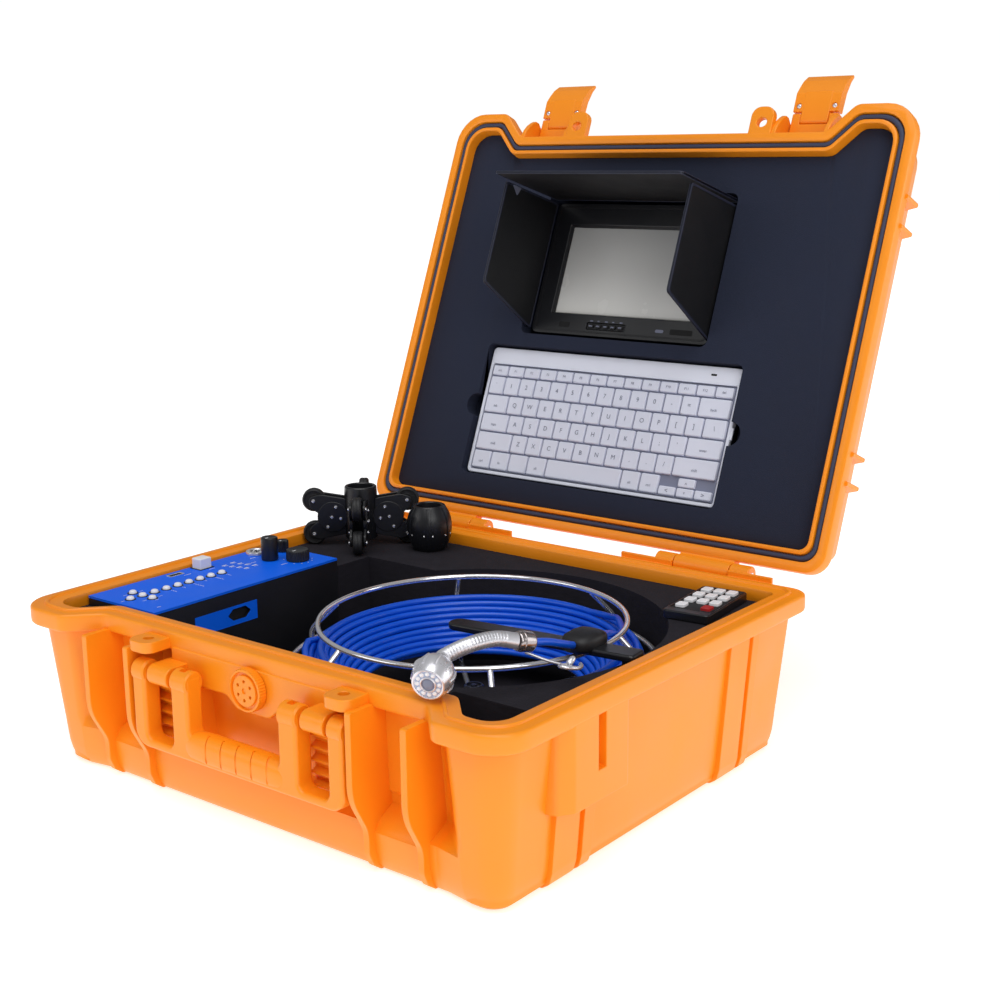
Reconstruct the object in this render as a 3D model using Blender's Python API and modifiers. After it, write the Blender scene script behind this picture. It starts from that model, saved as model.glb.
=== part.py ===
"""Pipe inspection camera system in a moulded hard case with the lid open.

Frame: X to the right, -Y to the front, +Z up, origin at the middle of the case's underside.
All driving dimensions are in millimetres and are turned into metres as each mesh is made.
The lid and everything in it are drawn closed, then turned about the hinge by LID_OPEN.
"""
import math

import bmesh
import bpy
from mathutils import Euler, Matrix, Vector

MM = 0.001

# Case outline
CASE_HALF_WIDTH = 250.5
CASE_BACK = 205.0
EAR_FRONT = -205.0
MIDDLE_FRONT = -180.0
EAR_INNER = 192.0
STEP_INNER = 168.0
RIM_HEIGHT = 135.0
FLANGE_HEIGHT = 14.0
CAVITY_INSET = 22.5
BASE_FLOOR = 5.0
CASE_CLOSED_TOP = 196.0
LID_RIM = 135.5
LID_OPEN = 112.0
LID_RIB_PLACES = (-124.0, -98.0, 100.0, 125.0)
HINGE_Y = 215.0
HINGE_Z = 135.0
HINGE_KNUCKLE_RADIUS = 8.0

# Latches, handle, valve
LATCH_X = 141.0
LATCH_HALF_WIDTH = 22.5
LATCH_PIVOT_Y = -188.5
LATCH_PIVOT_Z = 163.0
LEVER_PIVOT_Y = -203.0
HANDLE_PIVOT_Y = -194.5
HANDLE_PIVOT_Z = 106.0
VALVE_Z = 109.0

# Contents of the base
FOAM_TOP = 125.0
WELL_FLOOR = 40.0
REEL_X = 58.0
REEL_Y = 2.0
WELL_RADIUS = 154.0
RING_RADIUS = 122.0
RING_HEIGHT = 127.0
WIRE_RADIUS = 2.2
BOX_LEFT, BOX_RIGHT = -225.0, -142.0
BOX_FRONT, BOX_BACK = -152.0, 55.0
PANEL_TOP = 133.0
CABLE_DIAMETER = 5.5
SKID_X, SKID_Y = -183.0, 131.0
SKID_REACH = 44.0
BALL_X, BALL_Y = -117.0, 153.0
REMOTE_X, REMOTE_Y, REMOTE_TURN = 190.0, 137.0, 6.0
HEAD_CENTRE = (168.0, -173.0, 152.2)
HEAD_RADIUS = 14.5

# Contents of the lid, drawn closed
LID_FOAM_FACE = 145.0
MONITOR_X = -15.0
MONITOR_Y = -51.5
MONITOR_HALF_WIDTH = 100.0
MONITOR_HALF_HEIGHT = 66.0
BEZEL_FACE = 155.0
SCREEN_HALF = (77.0, 43.3)
SCREEN_CENTRE = (-17.0, -51.0)
HOOD_HINGE_Z = 152.5
TOP_FLAP_DROOP = 6.5
KEYBOARD_X, KEYBOARD_Y = -11.0, 97.5
KEYBOARD_HALF = (141.0, 63.5)

# Key widths of the six rows, back row first, in units of a letter key
KEY_ROWS = ([1.0] * 14, [1.0] * 13 + [1.8], [1.5] + [1.0] * 12 + [1.3], [1.8] + [1.0] * 11 + [2.0],
            [2.3] + [1.0] * 10 + [2.5], [1.3, 1.3, 1.3, 1.3, 5.0, 1.2, 1.2, 1.1, 1.1, 1.1])

# Controls on the panel: a cluster of five push buttons, then a row of six
CLUSTER = (-188.0, -126.0)
CLUSTER_SPACING = 12.5
ROW_START_Y = -101.0
ROW_SPACING = 12.2
BUTTON_PLACES = [CLUSTER] + [(CLUSTER[0] + CLUSTER_SPACING * dx, CLUSTER[1] + CLUSTER_SPACING * dy)
                             for dx, dy in ((-1, 0), (1, 0), (0, -1), (0, 1))]
BUTTON_PLACES += [(CLUSTER[0], ROW_START_Y + ROW_SPACING * step) for step in range(6)]
DONGLE = (-216.0, -38.0)
SOCKET = (-213.0, 24.0)
CONNECTOR_CAP = (-187.0, 16.0)
SPEAKER_KNOB = (-199.0, 43.0)
DIMMER_KNOB = (-166.0, 30.0)

# Wheel of the roller skid: (radius, height) down its outer side
WHEEL_PROFILE = [(0, 4.4), (9.4, 4.4), (11.0, 2.4), (11.0, -2.4), (9.4, -4.4), (0, -4.4)]

PARTS = "pipe_inspection_camera"
CUTTERS = "cutters"


def on_reel(angle, radius, height):
    turn = math.radians(angle)
    return (REEL_X + radius * math.cos(turn), REEL_Y + radius * math.sin(turn), height)


# The free end of the cable: off the coil, over the ring, through the guide and out to the collar
COLLAR_END = (188.2, -92.0, 157.6)
LEAD_ROUTE = [on_reel(52, 120.5, 116.3), on_reel(36, 118.0, 116.9), on_reel(24, 115.5, 121.0),
              on_reel(14, 115.0, 128.5), on_reel(4, 118.5, 133.8), on_reel(-6, 122.5, 135.5),
              on_reel(-15, 128.0, 138.0), (186.5, -52, 145.2), (188.0, -74, 153.0), COLLAR_END]


# ---------------------------------------------------------------- scene helpers
def clear_scene():
    for item in list(bpy.data.objects):
        bpy.data.objects.remove(item, do_unlink=True)
    for name in (PARTS, CUTTERS):
        if name in bpy.data.collections:
            bpy.data.collections.remove(bpy.data.collections[name])
        bpy.context.scene.collection.children.link(bpy.data.collections.new(name))


def material(name, colour, roughness, metallic=0.0):
    found = bpy.data.materials.get(name)
    if found:
        return found
    made = bpy.data.materials.new(name)
    made.use_nodes = True
    shader = made.node_tree.nodes["Principled BSDF"]
    shader.inputs["Base Color"].default_value = (*colour, 1.0)
    shader.inputs["Roughness"].default_value = roughness
    shader.inputs["Metallic"].default_value = metallic
    return made


def orange():
    return material("case_orange", (1.0, 0.24, 0.02), 0.42)


def black():
    return material("black_plastic", (0.012, 0.012, 0.014), 0.45)


def foam_black():
    return material("foam", (0.02, 0.02, 0.026), 0.95)


def steel():
    return material("steel", (0.62, 0.62, 0.62), 0.28, 1.0)


def chrome():
    return material("chrome_wire", (0.8, 0.8, 0.8), 0.12, 1.0)


def cable_blue():
    return material("cable_blue", (0.0, 0.09, 0.62), 0.4)


def panel_blue():
    return material("panel_blue", (0.0, 0.1, 0.8), 0.35)


def rubber():
    return material("rubber", (0.015, 0.015, 0.016), 0.8)


def silver():
    return material("silver_plastic", (0.72, 0.73, 0.78), 0.35)


def key_white():
    return material("white_keys", (0.82, 0.82, 0.86), 0.4)


class Frame:
    """Where a group of pieces is drawn: an empty, and the drawn point that it stands on."""

    def __init__(self, name, origin, tilt=0.0):
        self.origin = Vector(origin)
        self.empty = bpy.data.objects.new(name, None)
        self.empty.location = self.origin * MM
        self.empty.rotation_euler = Euler((math.radians(tilt), 0.0, 0.0))
        bpy.data.collections[PARTS].objects.link(self.empty)


def place(thing, frame, pivot, turn):
    thing.parent = frame.empty
    thing.location = (Vector(pivot) - frame.origin) * MM
    thing.rotation_euler = Euler([math.radians(angle) for angle in turn])


def make(name, shape, finish, frame, pivot=(0, 0, 0), turn=(0, 0, 0), smooth=35.0):
    """Turn a bmesh drawn in millimetres into a named object that turns about pivot."""
    bmesh.ops.translate(shape, verts=shape.verts, vec=-Vector(pivot))
    bmesh.ops.scale(shape, verts=shape.verts, vec=(MM, MM, MM))
    mesh = bpy.data.meshes.new(name)
    shape.to_mesh(mesh)
    shape.free()
    mesh.materials.append(finish)
    mesh.shade_smooth()
    mesh.set_sharp_from_angle(angle=math.radians(smooth))
    thing = bpy.data.objects.new(name, mesh)
    bpy.data.collections[PARTS].objects.link(thing)
    place(thing, frame, pivot, turn)
    thing["pivot"] = pivot
    thing["turn"] = turn
    return thing


def boolean(target, shape, frame, operation):
    """Cut target with, or join to it, a shape drawn in the same place."""
    name = f"{target.name}_{operation.lower()}_{len(target.modifiers)}"
    bmesh.ops.recalc_face_normals(shape, faces=shape.faces)
    tool = make(name, shape, foam_black(), frame, target["pivot"], target["turn"])
    bpy.data.collections[PARTS].objects.unlink(tool)
    bpy.data.collections[CUTTERS].objects.link(tool)
    tool.hide_render = True
    tool.display_type = "WIRE"
    step = target.modifiers.new(operation.title(), "BOOLEAN")
    step.operation = operation
    step.solver = "EXACT"
    step.object = tool


# ---------------------------------------------------------------- shapes, in millimetres
def new_shape():
    return bmesh.new()


def add_box(shape, x0, x1, y0, y1, z0, z1, bevel=0.0, segments=1):
    size = Matrix.Diagonal((x1 - x0, y1 - y0, z1 - z0, 1.0))
    middle = Matrix.Translation(((x0 + x1) / 2, (y0 + y1) / 2, (z0 + z1) / 2))
    made = bmesh.ops.create_cube(shape, size=1.0, matrix=middle @ size)
    if bevel:
        edges = list({edge for vert in made["verts"] for edge in vert.link_edges})
        bmesh.ops.bevel(shape, geom=edges, offset=bevel, segments=segments, affect="EDGES", profile=0.5)
    return shape


def add_cylinder(shape, centre, axis, radius, length, segments=24, top_radius=None):
    along = {"X": Matrix.Rotation(math.pi / 2, 4, "Y"), "Y": Matrix.Rotation(math.pi / 2, 4, "X"),
             "Z": Matrix.Identity(4)}[axis]
    bmesh.ops.create_cone(shape, cap_ends=True, segments=segments, radius1=radius,
                          radius2=radius if top_radius is None else top_radius, depth=length,
                          matrix=Matrix.Translation(centre) @ along)
    return shape


def rounded(points, radii, steps=4):
    """A polygon with each corner replaced by an arc of the given radius."""
    outline = []
    count = len(points)
    for index, corner in enumerate(points):
        here = Vector(corner)
        before = (Vector(points[index - 1]) - here).normalized()
        after = (Vector(points[(index + 1) % count]) - here).normalized()
        radius = radii[index] if isinstance(radii, (list, tuple)) else radii
        half = before.angle(after) / 2
        reach = radius / math.tan(half)
        centre = here + (before + after).normalized() * (radius / math.sin(half))
        start = here + before * reach - centre
        finish = here + after * reach - centre
        sweep = math.atan2(start.x * finish.y - start.y * finish.x, start.dot(finish))
        for step in range(steps + 1):
            angle = sweep * step / steps
            turned = Vector((start.x * math.cos(angle) - start.y * math.sin(angle),
                             start.x * math.sin(angle) + start.y * math.cos(angle)))
            outline.append(tuple(centre + turned))
    return outline


def add_prism(shape, outline, axis, low, high):
    """Extrude a flat outline along an axis. The outline's pairs are the other two axes in order."""
    def at(pair, level):
        first, second = pair
        return {"X": (level, first, second), "Y": (first, level, second), "Z": (first, second, level)}[axis]

    bottom = [shape.verts.new(at(pair, low)) for pair in outline]
    face = shape.faces.new(bottom)
    grown = bmesh.ops.extrude_face_region(shape, geom=[face])
    top = [item for item in grown["geom"] if isinstance(item, bmesh.types.BMVert)]
    shift = Vector(at((0.0, 0.0), high - low))
    bmesh.ops.translate(shape, verts=top, vec=shift)
    bmesh.ops.recalc_face_normals(shape, faces=shape.faces)
    return shape


def add_loft(shape, rings):
    """Join rings of equally many points, and close both ends."""
    rows = [[shape.verts.new(point) for point in ring] for ring in rings]
    count = len(rows[0])
    for lower, upper in zip(rows, rows[1:]):
        for index in range(count):
            after = (index + 1) % count
            shape.faces.new((lower[index], lower[after], upper[after], upper[index]))
    shape.faces.new(rows[0])
    shape.faces.new(rows[-1])
    bmesh.ops.recalc_face_normals(shape, faces=shape.faces)
    return shape


def add_ring(shape, rings):
    """Join rings of equally many points in a closed loop, as round a tube with an open bore."""
    rows = [[shape.verts.new(point) for point in ring] for ring in rings]
    count = len(rows[0])
    for lower, upper in zip(rows, rows[1:] + rows[:1]):
        for index in range(count):
            after = (index + 1) % count
            shape.faces.new((lower[index], lower[after], upper[after], upper[index]))
    bmesh.ops.recalc_face_normals(shape, faces=shape.faces)
    return shape


def circle(x, y, radius, count, start=0.0):
    turns = [start + math.tau * index / count for index in range(count)]
    return [(x + radius * math.cos(turn), y + radius * math.sin(turn)) for turn in turns]


def turned(name, profile, finish, frame, centre, steps=32, turn=(0, 0, 0)):
    """A turned piece: (radius, height) pairs down its outer side, spun about its own Z axis."""
    shape = new_shape()
    verts = [shape.verts.new((radius, 0.0, height)) for radius, height in profile]
    for first, second in zip(verts, verts[1:]):
        shape.edges.new((first, second))
    if profile[0][0] > 0:
        shape.edges.new((verts[-1], verts[0]))
    bmesh.ops.translate(shape, verts=shape.verts, vec=Vector(centre))
    thing = make(name, shape, finish, frame, centre, turn)
    spin = thing.modifiers.new("Turn", "SCREW")
    spin.steps = steps
    spin.render_steps = steps
    spin.use_merge_vertices = True
    spin.merge_threshold = 0.00005
    return thing


def smooth_route(points, spacing):
    """Points every spacing along a smooth curve through the given points."""
    knots = [Vector(point) for point in points]
    padded = [2 * knots[0] - knots[1]] + knots + [2 * knots[-1] - knots[-2]]
    fine = []
    for a, b, c, d in zip(padded, padded[1:], padded[2:], padded[3:]):
        for step in range(20):
            t = step / 20
            fine.append(0.5 * (2 * b + (c - a) * t + (2 * a - 5 * b + 4 * c - d) * t * t
                               + (3 * b - a - 3 * c + d) * t ** 3))
    fine.append(knots[-1])
    route = [fine[0]]
    for point in fine[1:-1]:
        if (point - route[-1]).length >= spacing:
            route.append(point)
    if (fine[-1] - route[-1]).length < spacing / 2:
        route.pop()
    return route + [fine[-1]]


def tube(name, points, radius, finish, frame, pivot=(0, 0, 0), spacing=0.0, sides=2, closed=False):
    """A round tube along points, as a curve object."""
    route = smooth_route(points, spacing) if spacing else [Vector(point) for point in points]
    curve = bpy.data.curves.new(name, "CURVE")
    curve.dimensions = "3D"
    curve.bevel_depth = radius * MM
    curve.bevel_resolution = sides
    curve.use_fill_caps = not closed
    line = curve.splines.new("POLY")
    line.points.add(len(route) - 1)
    line.use_cyclic_u = closed
    for spot, point in zip(line.points, route):
        spot.co = (*((point - Vector(pivot)) * MM), 1.0)
    curve.materials.append(finish)
    thing = bpy.data.objects.new(name, curve)
    bpy.data.collections[PARTS].objects.link(thing)
    place(thing, frame, pivot, (0, 0, 0))
    return thing


def tube_shape(points, radius, spacing=0.0, sides=1, closed=False, frame=None):
    """The same tube as a closed mesh in millimetres, for joining to other shapes."""
    thing = tube("draft_tube", points, radius, steel(), frame, (0, 0, 0), spacing, sides, closed)
    bpy.context.view_layer.update()
    evaluated = thing.evaluated_get(bpy.context.evaluated_depsgraph_get())
    mesh = bpy.data.meshes.new_from_object(evaluated)
    shape = new_shape()
    shape.from_mesh(mesh)
    bmesh.ops.scale(shape, verts=shape.verts, vec=(1 / MM, 1 / MM, 1 / MM))
    bmesh.ops.remove_doubles(shape, verts=shape.verts, dist=0.01)
    bmesh.ops.recalc_face_normals(shape, faces=shape.faces)
    bpy.data.objects.remove(thing, do_unlink=True)
    bpy.data.meshes.remove(mesh)
    return shape


# ---------------------------------------------------------------- the case
def case_outline(inset):
    """The plan of rim and flange: square corners at the back, two ears at the front corners."""
    slant = 0.364 * inset
    right = [(CASE_HALF_WIDTH - inset, CASE_BACK - inset), (CASE_HALF_WIDTH - inset, EAR_FRONT + inset),
             (EAR_INNER + slant, EAR_FRONT + inset), (STEP_INNER + slant, MIDDLE_FRONT + inset)]
    radii = [max(18.0 - inset * 0.5, 5.0), max(30.0 - inset * 0.6, 8.0), 12.0, 12.0]
    left = [(-x, y) for x, y in reversed(right)]
    return rounded(right + left, radii + radii[::-1], steps=3)


def level(inset, height):
    return [(x, y, height) for x, y in case_outline(inset)]


def side_pair(x0, x1):
    """The same stretch on the right and on the left of the middle."""
    return ((x0, x1), (-x1, -x0))


def base_shell(frame):
    top = RIM_HEIGHT
    flange = top - FLANGE_HEIGHT
    rings = [level(26, 0), level(20, 5), level(10.5, flange - 1), level(0.8, flange), level(0, flange + 1.5),
             level(0, top - 2), level(2, top), level(9.5, top), level(10.2, top + 2), level(12.4, top + 2),
             level(13.2, top), level(CAVITY_INSET, top), level(CAVITY_INSET, BASE_FLOOR)]
    shell = make("base_shell", add_loft(new_shape(), rings), orange(), frame)

    # Latch seats and the recess behind the handle grip
    seats = new_shape()
    for x0, x1 in side_pair(119, 163):
        add_box(seats, x0, x1, -230, -163.5, -5, flange - 0.7)
    boolean(shell, seats, frame, "DIFFERENCE")

    # Guard fins either side of each latch seat, with swept lower ends
    fins = new_shape()
    sweep = rounded([(-202.5, flange + 3), (-202.5, 42), (-166, 16), (-159, 16), (-159, flange + 3)],
                    [1.5, 26, 6, 2, 2], steps=4)
    for x0, x1 in side_pair(113.5, 118.7) + side_pair(163.3, 168.5):
        add_prism(fins, sweep, "X", x0, x1)
    boolean(shell, fins, frame, "UNION")

    # Padlock ledges beside the inner fins, each with its hole
    ledges = new_shape()
    for x0, x1 in side_pair(90, 115):
        add_box(ledges, x0, x1, -202, -170, 121.5, 130.5)
    boolean(shell, ledges, frame, "UNION")
    holes = new_shape()
    for side in (-1, 1):
        add_cylinder(holes, (side * 102, -190, 126), "Z", 4.0, 20, 16)
    boolean(shell, holes, frame, "DIFFERENCE")

    # Raised plate that carries the relief valve: its lower edge dips round the valve
    plate = new_shape()
    edge = rounded([(-88, 124), (88, 124), (88, 98), (28, 98), (17, 89), (-17, 89), (-28, 98), (-88, 98)],
                   [2, 2, 4, 8, 9, 9, 8, 4], steps=3)
    add_prism(plate, edge, "Y", -181, -164)
    boolean(shell, plate, frame, "UNION")

    # Louvred pads and pin lugs behind the two handle loops
    pads = new_shape()
    for x0, x1 in side_pair(69, 93):
        add_box(pads, x0, x1, -180, -160, 46, 99.5)
    boolean(shell, pads, frame, "UNION")
    louvres = new_shape()
    for x0, x1 in side_pair(68, 94):
        for step in range(4):
            add_box(louvres, x0, x1, -185, -175, 50 + step * 10, 54 + step * 10)
    boolean(shell, louvres, frame, "DIFFERENCE")
    lugs = new_shape()
    for x0, x1 in side_pair(70, 92):
        lug = rounded([(-202.5, 114), (-202.5, 98), (-176, 98), (-176, 114)], [7, 7, 1, 1], steps=4)
        add_prism(lugs, lug, "X", x0, x1)
    boolean(shell, lugs, frame, "UNION")
    bores = new_shape()
    for x0, x1 in side_pair(60, 100):
        add_cylinder(bores, ((x0 + x1) / 2, HANDLE_PIVOT_Y, HANDLE_PIVOT_Z), "X", 2.9, x1 - x0, 12)
    boolean(shell, bores, frame, "DIFFERENCE")

    # Strap brackets on both side walls, each with its upright slot
    brackets = new_shape()
    for x0, x1 in side_pair(230, 247.5):
        add_box(brackets, x0, x1, -138, -62, 47, flange + 2)
    boolean(shell, brackets, frame, "UNION")
    slots = new_shape()
    for x0, x1 in side_pair(243, 256):
        add_box(slots, x0, x1, -101, -91, 70, flange - 1)
    boolean(shell, slots, frame, "DIFFERENCE")

    # Raised bands down the walls
    bands = new_shape()
    for side in (-1, 1):
        for y0, y1, high in ((-126, -100, 60), (82, 108, flange + 1)):
            lean = 233.5 + 9.0 * (high - BASE_FLOOR) / (flange - BASE_FLOOR)
            band = [(side * 229, BASE_FLOOR), (side * 233.5, BASE_FLOOR), (side * lean, high),
                    (side * 230, high)]
            add_prism(bands, band, "Y", y0, y1)
    boolean(shell, bands, frame, "UNION")

    # Hinge blocks, lugs and pin bores along the back
    blocks = new_shape()
    for x0, x1 in side_pair(62, 114.3) + side_pair(169.7, 212):
        foot = [(202, 122), (208.5, 122), (208.5, 139), (205.6, 139), (205.6, 134), (202, 134)]
        add_prism(blocks, foot, "X", x0, x1)
    boolean(shell, blocks, frame, "UNION")
    knuckles = new_shape()
    for x0, x1 in side_pair(96, 114.3) + side_pair(169.7, 188):
        arm = [(206, 124), (215, 126.6)] + circle_arc(HINGE_Y, HINGE_Z, HINGE_KNUCKLE_RADIUS, -70, 180, 8)
        add_prism(knuckles, arm, "X", x0, x1)
    boolean(shell, knuckles, frame, "UNION")
    pins = new_shape()
    for x0, x1 in side_pair(99, 185):
        add_cylinder(pins, ((x0 + x1) / 2, HINGE_Y, HINGE_Z), "X", 3.3, x1 - x0, 12)
    boolean(shell, pins, frame, "DIFFERENCE")


def circle_arc(x, y, radius, start, end, steps):
    angles = [math.radians(start + (end - start) * step / steps) for step in range(steps + 1)]
    return [(x + radius * math.cos(angle), y + radius * math.sin(angle)) for angle in angles]


def lid_shell(frame):
    top = CASE_CLOSED_TOP
    rim = LID_RIM
    rings = [level(24, top), level(18, top - 5), level(9, rim + 14), level(0.8, rim + 13), level(0, rim + 11),
             level(0, rim + 1.5), level(1.5, rim), level(8.6, rim), level(8.9, rim + 5.5),
             level(14.4, rim + 5.5), level(14.7, rim - 0.3), level(18.3, rim - 0.3),
             level(18.8, rim + 4), level(22.4, top - 4)]
    shell = make("lid_shell", add_loft(new_shape(), rings), orange(), frame, (0, HINGE_Y, HINGE_Z))

    # Guard fins and latch bearings at the front
    fins = new_shape()
    gusset = [(-163, 146), (-172.8, 143), (-172.8, 137), (-182, 137), (-202, 150), (-202, 156), (-193, 169),
              (-163, 176)]
    for x0, x1 in side_pair(112.5, 117.5) + side_pair(164.5, 169.5):
        add_prism(fins, gusset, "X", x0, x1)
    boolean(shell, fins, frame, "UNION")
    bores = new_shape()
    for x0, x1 in side_pair(109, 173):
        add_cylinder(bores, ((x0 + x1) / 2, LATCH_PIVOT_Y, LATCH_PIVOT_Z), "X", 2.1, x1 - x0, 12)
    boolean(shell, bores, frame, "DIFFERENCE")

    # Padlock eyes, in line with the ledges on the base
    eyes = new_shape()
    for x0, x1 in side_pair(90, 113):
        eye = rounded([(x0, -172), (x0, -205), (x1, -205), (x1, -172)], [2, 9, 9, 2], steps=3)
        add_prism(eyes, eye, "Z", 136, 143)
    boolean(shell, eyes, frame, "UNION")
    holes = new_shape()
    for side in (-1, 1):
        add_cylinder(holes, (side * 102, -190, 140), "Z", 4.5, 20, 16)
    boolean(shell, holes, frame, "DIFFERENCE")

    # Side ribs that end as small points beyond the flange
    ribs = new_shape()
    inside, outside = CASE_HALF_WIDTH - 14, CASE_HALF_WIDTH + 2.5
    for side in (-1, 1):
        for y in LID_RIB_PLACES:
            point = [(side * inside, y - 6), (side * outside, y - 1.5), (side * outside, y + 1.5),
                     (side * inside, y + 6)]
            add_prism(ribs, point, "Z", rim + 7, top - 30)
    boolean(shell, ribs, frame, "UNION")

    # Knuckles between the base's hinge lugs
    knuckles = new_shape()
    for x0, x1 in side_pair(115, 169):
        arm = [(198, 147), (198, 137), (206, 136)]
        arm += circle_arc(HINGE_Y, HINGE_Z, HINGE_KNUCKLE_RADIUS, 180, 440, 8)
        add_prism(knuckles, arm, "X", x0, x1)
    boolean(shell, knuckles, frame, "UNION")
    pins = new_shape()
    for x0, x1 in side_pair(111, 173):
        add_cylinder(pins, ((x0 + x1) / 2, HINGE_Y, HINGE_Z), "X", 3.3, x1 - x0, 12)
    boolean(shell, pins, frame, "DIFFERENCE")


def lid_gasket(frame):
    rim = LID_RIM
    rings = [level(9.3, rim + 5.2), level(9.3, rim + 2.2), level(10.4, rim + 1.2), level(12.9, rim + 1.2),
             level(14.0, rim + 2.2), level(14.0, rim + 5.2)]
    make("lid_gasket", add_ring(new_shape(), rings), rubber(), frame, (0, HINGE_Y, HINGE_Z))


def hinge_pins(frame):
    for side, name in ((-1, "hinge_pin_left"), (1, "hinge_pin_right")):
        shape = add_cylinder(new_shape(), (side * 142, HINGE_Y, HINGE_Z), "X", 2.9, 85.4, 16)
        make(name, shape, steel(), frame, (side * 142, HINGE_Y, HINGE_Z))


def carry_handle(frame):
    pivot = (0, HANDLE_PIVOT_Y, HANDLE_PIVOT_Z)
    y0, y1 = -204.0, -184.5
    shape = new_shape()
    outer = rounded([(-110, 114), (-110, 43), (110, 43), (110, 114)], [5, 12, 12, 5], steps=4)
    add_prism(shape, outer, "Y", y0, y1)
    handle = make("carry_handle", shape, orange(), frame, pivot)
    gaps = new_shape()
    finger = rounded([(-47.5, 130), (-47.5, 66), (47.5, 66), (47.5, 130)], [3, 8, 8, 3], steps=3)
    add_prism(gaps, finger, "Y", -215, -170)
    for x0, x1 in side_pair(66, 95.5):
        add_prism(gaps, [(x0, 130), (x0, 55), (x1, 55), (x1, 130)], "Y", -215, -170)
    boolean(handle, gaps, frame, "DIFFERENCE")
    # Grip: rounded bar with finger grooves along its inner side
    scoops = new_shape()
    for step in range(-1, 2):
        add_cylinder(scoops, (step * 24.0, y1 + 5.5, 55), "Z", 9.5, 40, 16)
    boolean(handle, scoops, frame, "DIFFERENCE")
    bores = new_shape()
    for x0, x1 in side_pair(44, 115):
        add_cylinder(bores, ((x0 + x1) / 2, HANDLE_PIVOT_Y, HANDLE_PIVOT_Z), "X", 2.9, x1 - x0, 12)
    boolean(handle, bores, frame, "DIFFERENCE")
    for side, name in ((-1, "handle_pin_left"), (1, "handle_pin_right")):
        pin = add_cylinder(new_shape(), (side * 80.5, HANDLE_PIVOT_Y, HANDLE_PIVOT_Z), "X", 2.5, 59.0, 12)
        make(name, pin, steel(), frame, (side * 80.5, HANDLE_PIVOT_Y, HANDLE_PIVOT_Z))


def relief_valve(frame):
    shape = new_shape()
    add_cylinder(shape, (0, -184.9, VALVE_Z), "Y", 16.5, 7.0, 32)
    knob = make("relief_valve_knob", shape, orange(), frame, (0, -181.4, VALVE_Z))
    rings = [[(x, y, z) for x, z in circle(0, VALVE_Z, radius, 32)]
             for radius, y in ((14.2, -189.5), (14.2, -186.8), (11.8, -186.8), (11.8, -189.5))]
    boolean(knob, add_ring(new_shape(), rings), frame, "DIFFERENCE")


def latches(frame):
    """Draw latches, standing straight out of the open lid's front wall."""
    for side, word in ((-1, "left"), (1, "right")):
        x = side * LATCH_X
        half = LATCH_HALF_WIDTH
        link = new_shape()
        barrel = [(LEVER_PIVOT_Y - 4.5, LATCH_PIVOT_Z + 2)]
        barrel += circle_arc(LATCH_PIVOT_Y, LATCH_PIVOT_Z, 5.0, 20, -160, 6)
        barrel += [(LEVER_PIVOT_Y - 4.5, LATCH_PIVOT_Z - 4.5)]
        add_prism(link, rounded(barrel[:1] + barrel[-1:] + [(LATCH_PIVOT_Y + 4.6, LATCH_PIVOT_Z - 4.6),
                                                           (LATCH_PIVOT_Y + 4.6, LATCH_PIVOT_Z + 4.6),
                                                           (LEVER_PIVOT_Y + 3, LATCH_PIVOT_Z + 4.6)],
                                [2, 2, 4.2, 4.2, 3], steps=4), "X", x - half, x + half)
        part = make(f"latch_link_{word}", link, orange(), frame, (x, LATCH_PIVOT_Y, LATCH_PIVOT_Z))
        trunnions = add_cylinder(new_shape(), (x, LATCH_PIVOT_Y, LATCH_PIVOT_Z), "X", 1.8, 56.0, 12)
        boolean(part, trunnions, frame, "UNION")
        notch = new_shape()
        add_box(notch, x - 14, x + 14, LEVER_PIVOT_Y - 12, LEVER_PIVOT_Y + 6.3, 150, 180)
        boolean(part, notch, frame, "DIFFERENCE")

        lever = new_shape()
        front = LATCH_PIVOT_Z - 5.0
        outline = rounded([(LEVER_PIVOT_Y + 5.6, front + 1), (LEVER_PIVOT_Y + 5.6, LATCH_PIVOT_Z + 3.2),
                           (LEVER_PIVOT_Y - 8, LATCH_PIVOT_Z + 4.2), (-228, LATCH_PIVOT_Z + 4.8),
                           (-247, LATCH_PIVOT_Z + 12.5), (-248.5, LATCH_PIVOT_Z + 10),
                           (-234, front + 4.6), (-226, front)],
                          [1.5, 1.5, 4, 8, 1, 1, 6, 4], steps=2)
        add_prism(lever, outline, "X", x - 13.6, x + 13.6)
        arm = make(f"latch_lever_{word}", lever, orange(), frame, (x, LEVER_PIVOT_Y, LATCH_PIVOT_Z))
        wings = new_shape()
        wide = rounded([(LEVER_PIVOT_Y - 5.2, front + 0.2), (LEVER_PIVOT_Y - 5.2, LATCH_PIVOT_Z + 4),
                        (-228, LATCH_PIVOT_Z + 4.8), (-247, LATCH_PIVOT_Z + 12.5),
                        (-248.5, LATCH_PIVOT_Z + 10), (-234, front + 4.6), (-226, front + 0.2)],
                       [0.6, 1, 8, 1, 1, 6, 4], steps=2)
        add_prism(wings, wide, "X", x - half, x + half)
        boolean(arm, wings, frame, "UNION")
        window = add_box(new_shape(), x - 12, x + 12, -225, -213, front - 5, front + 3.5)
        boolean(arm, window, frame, "DIFFERENCE")


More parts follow.
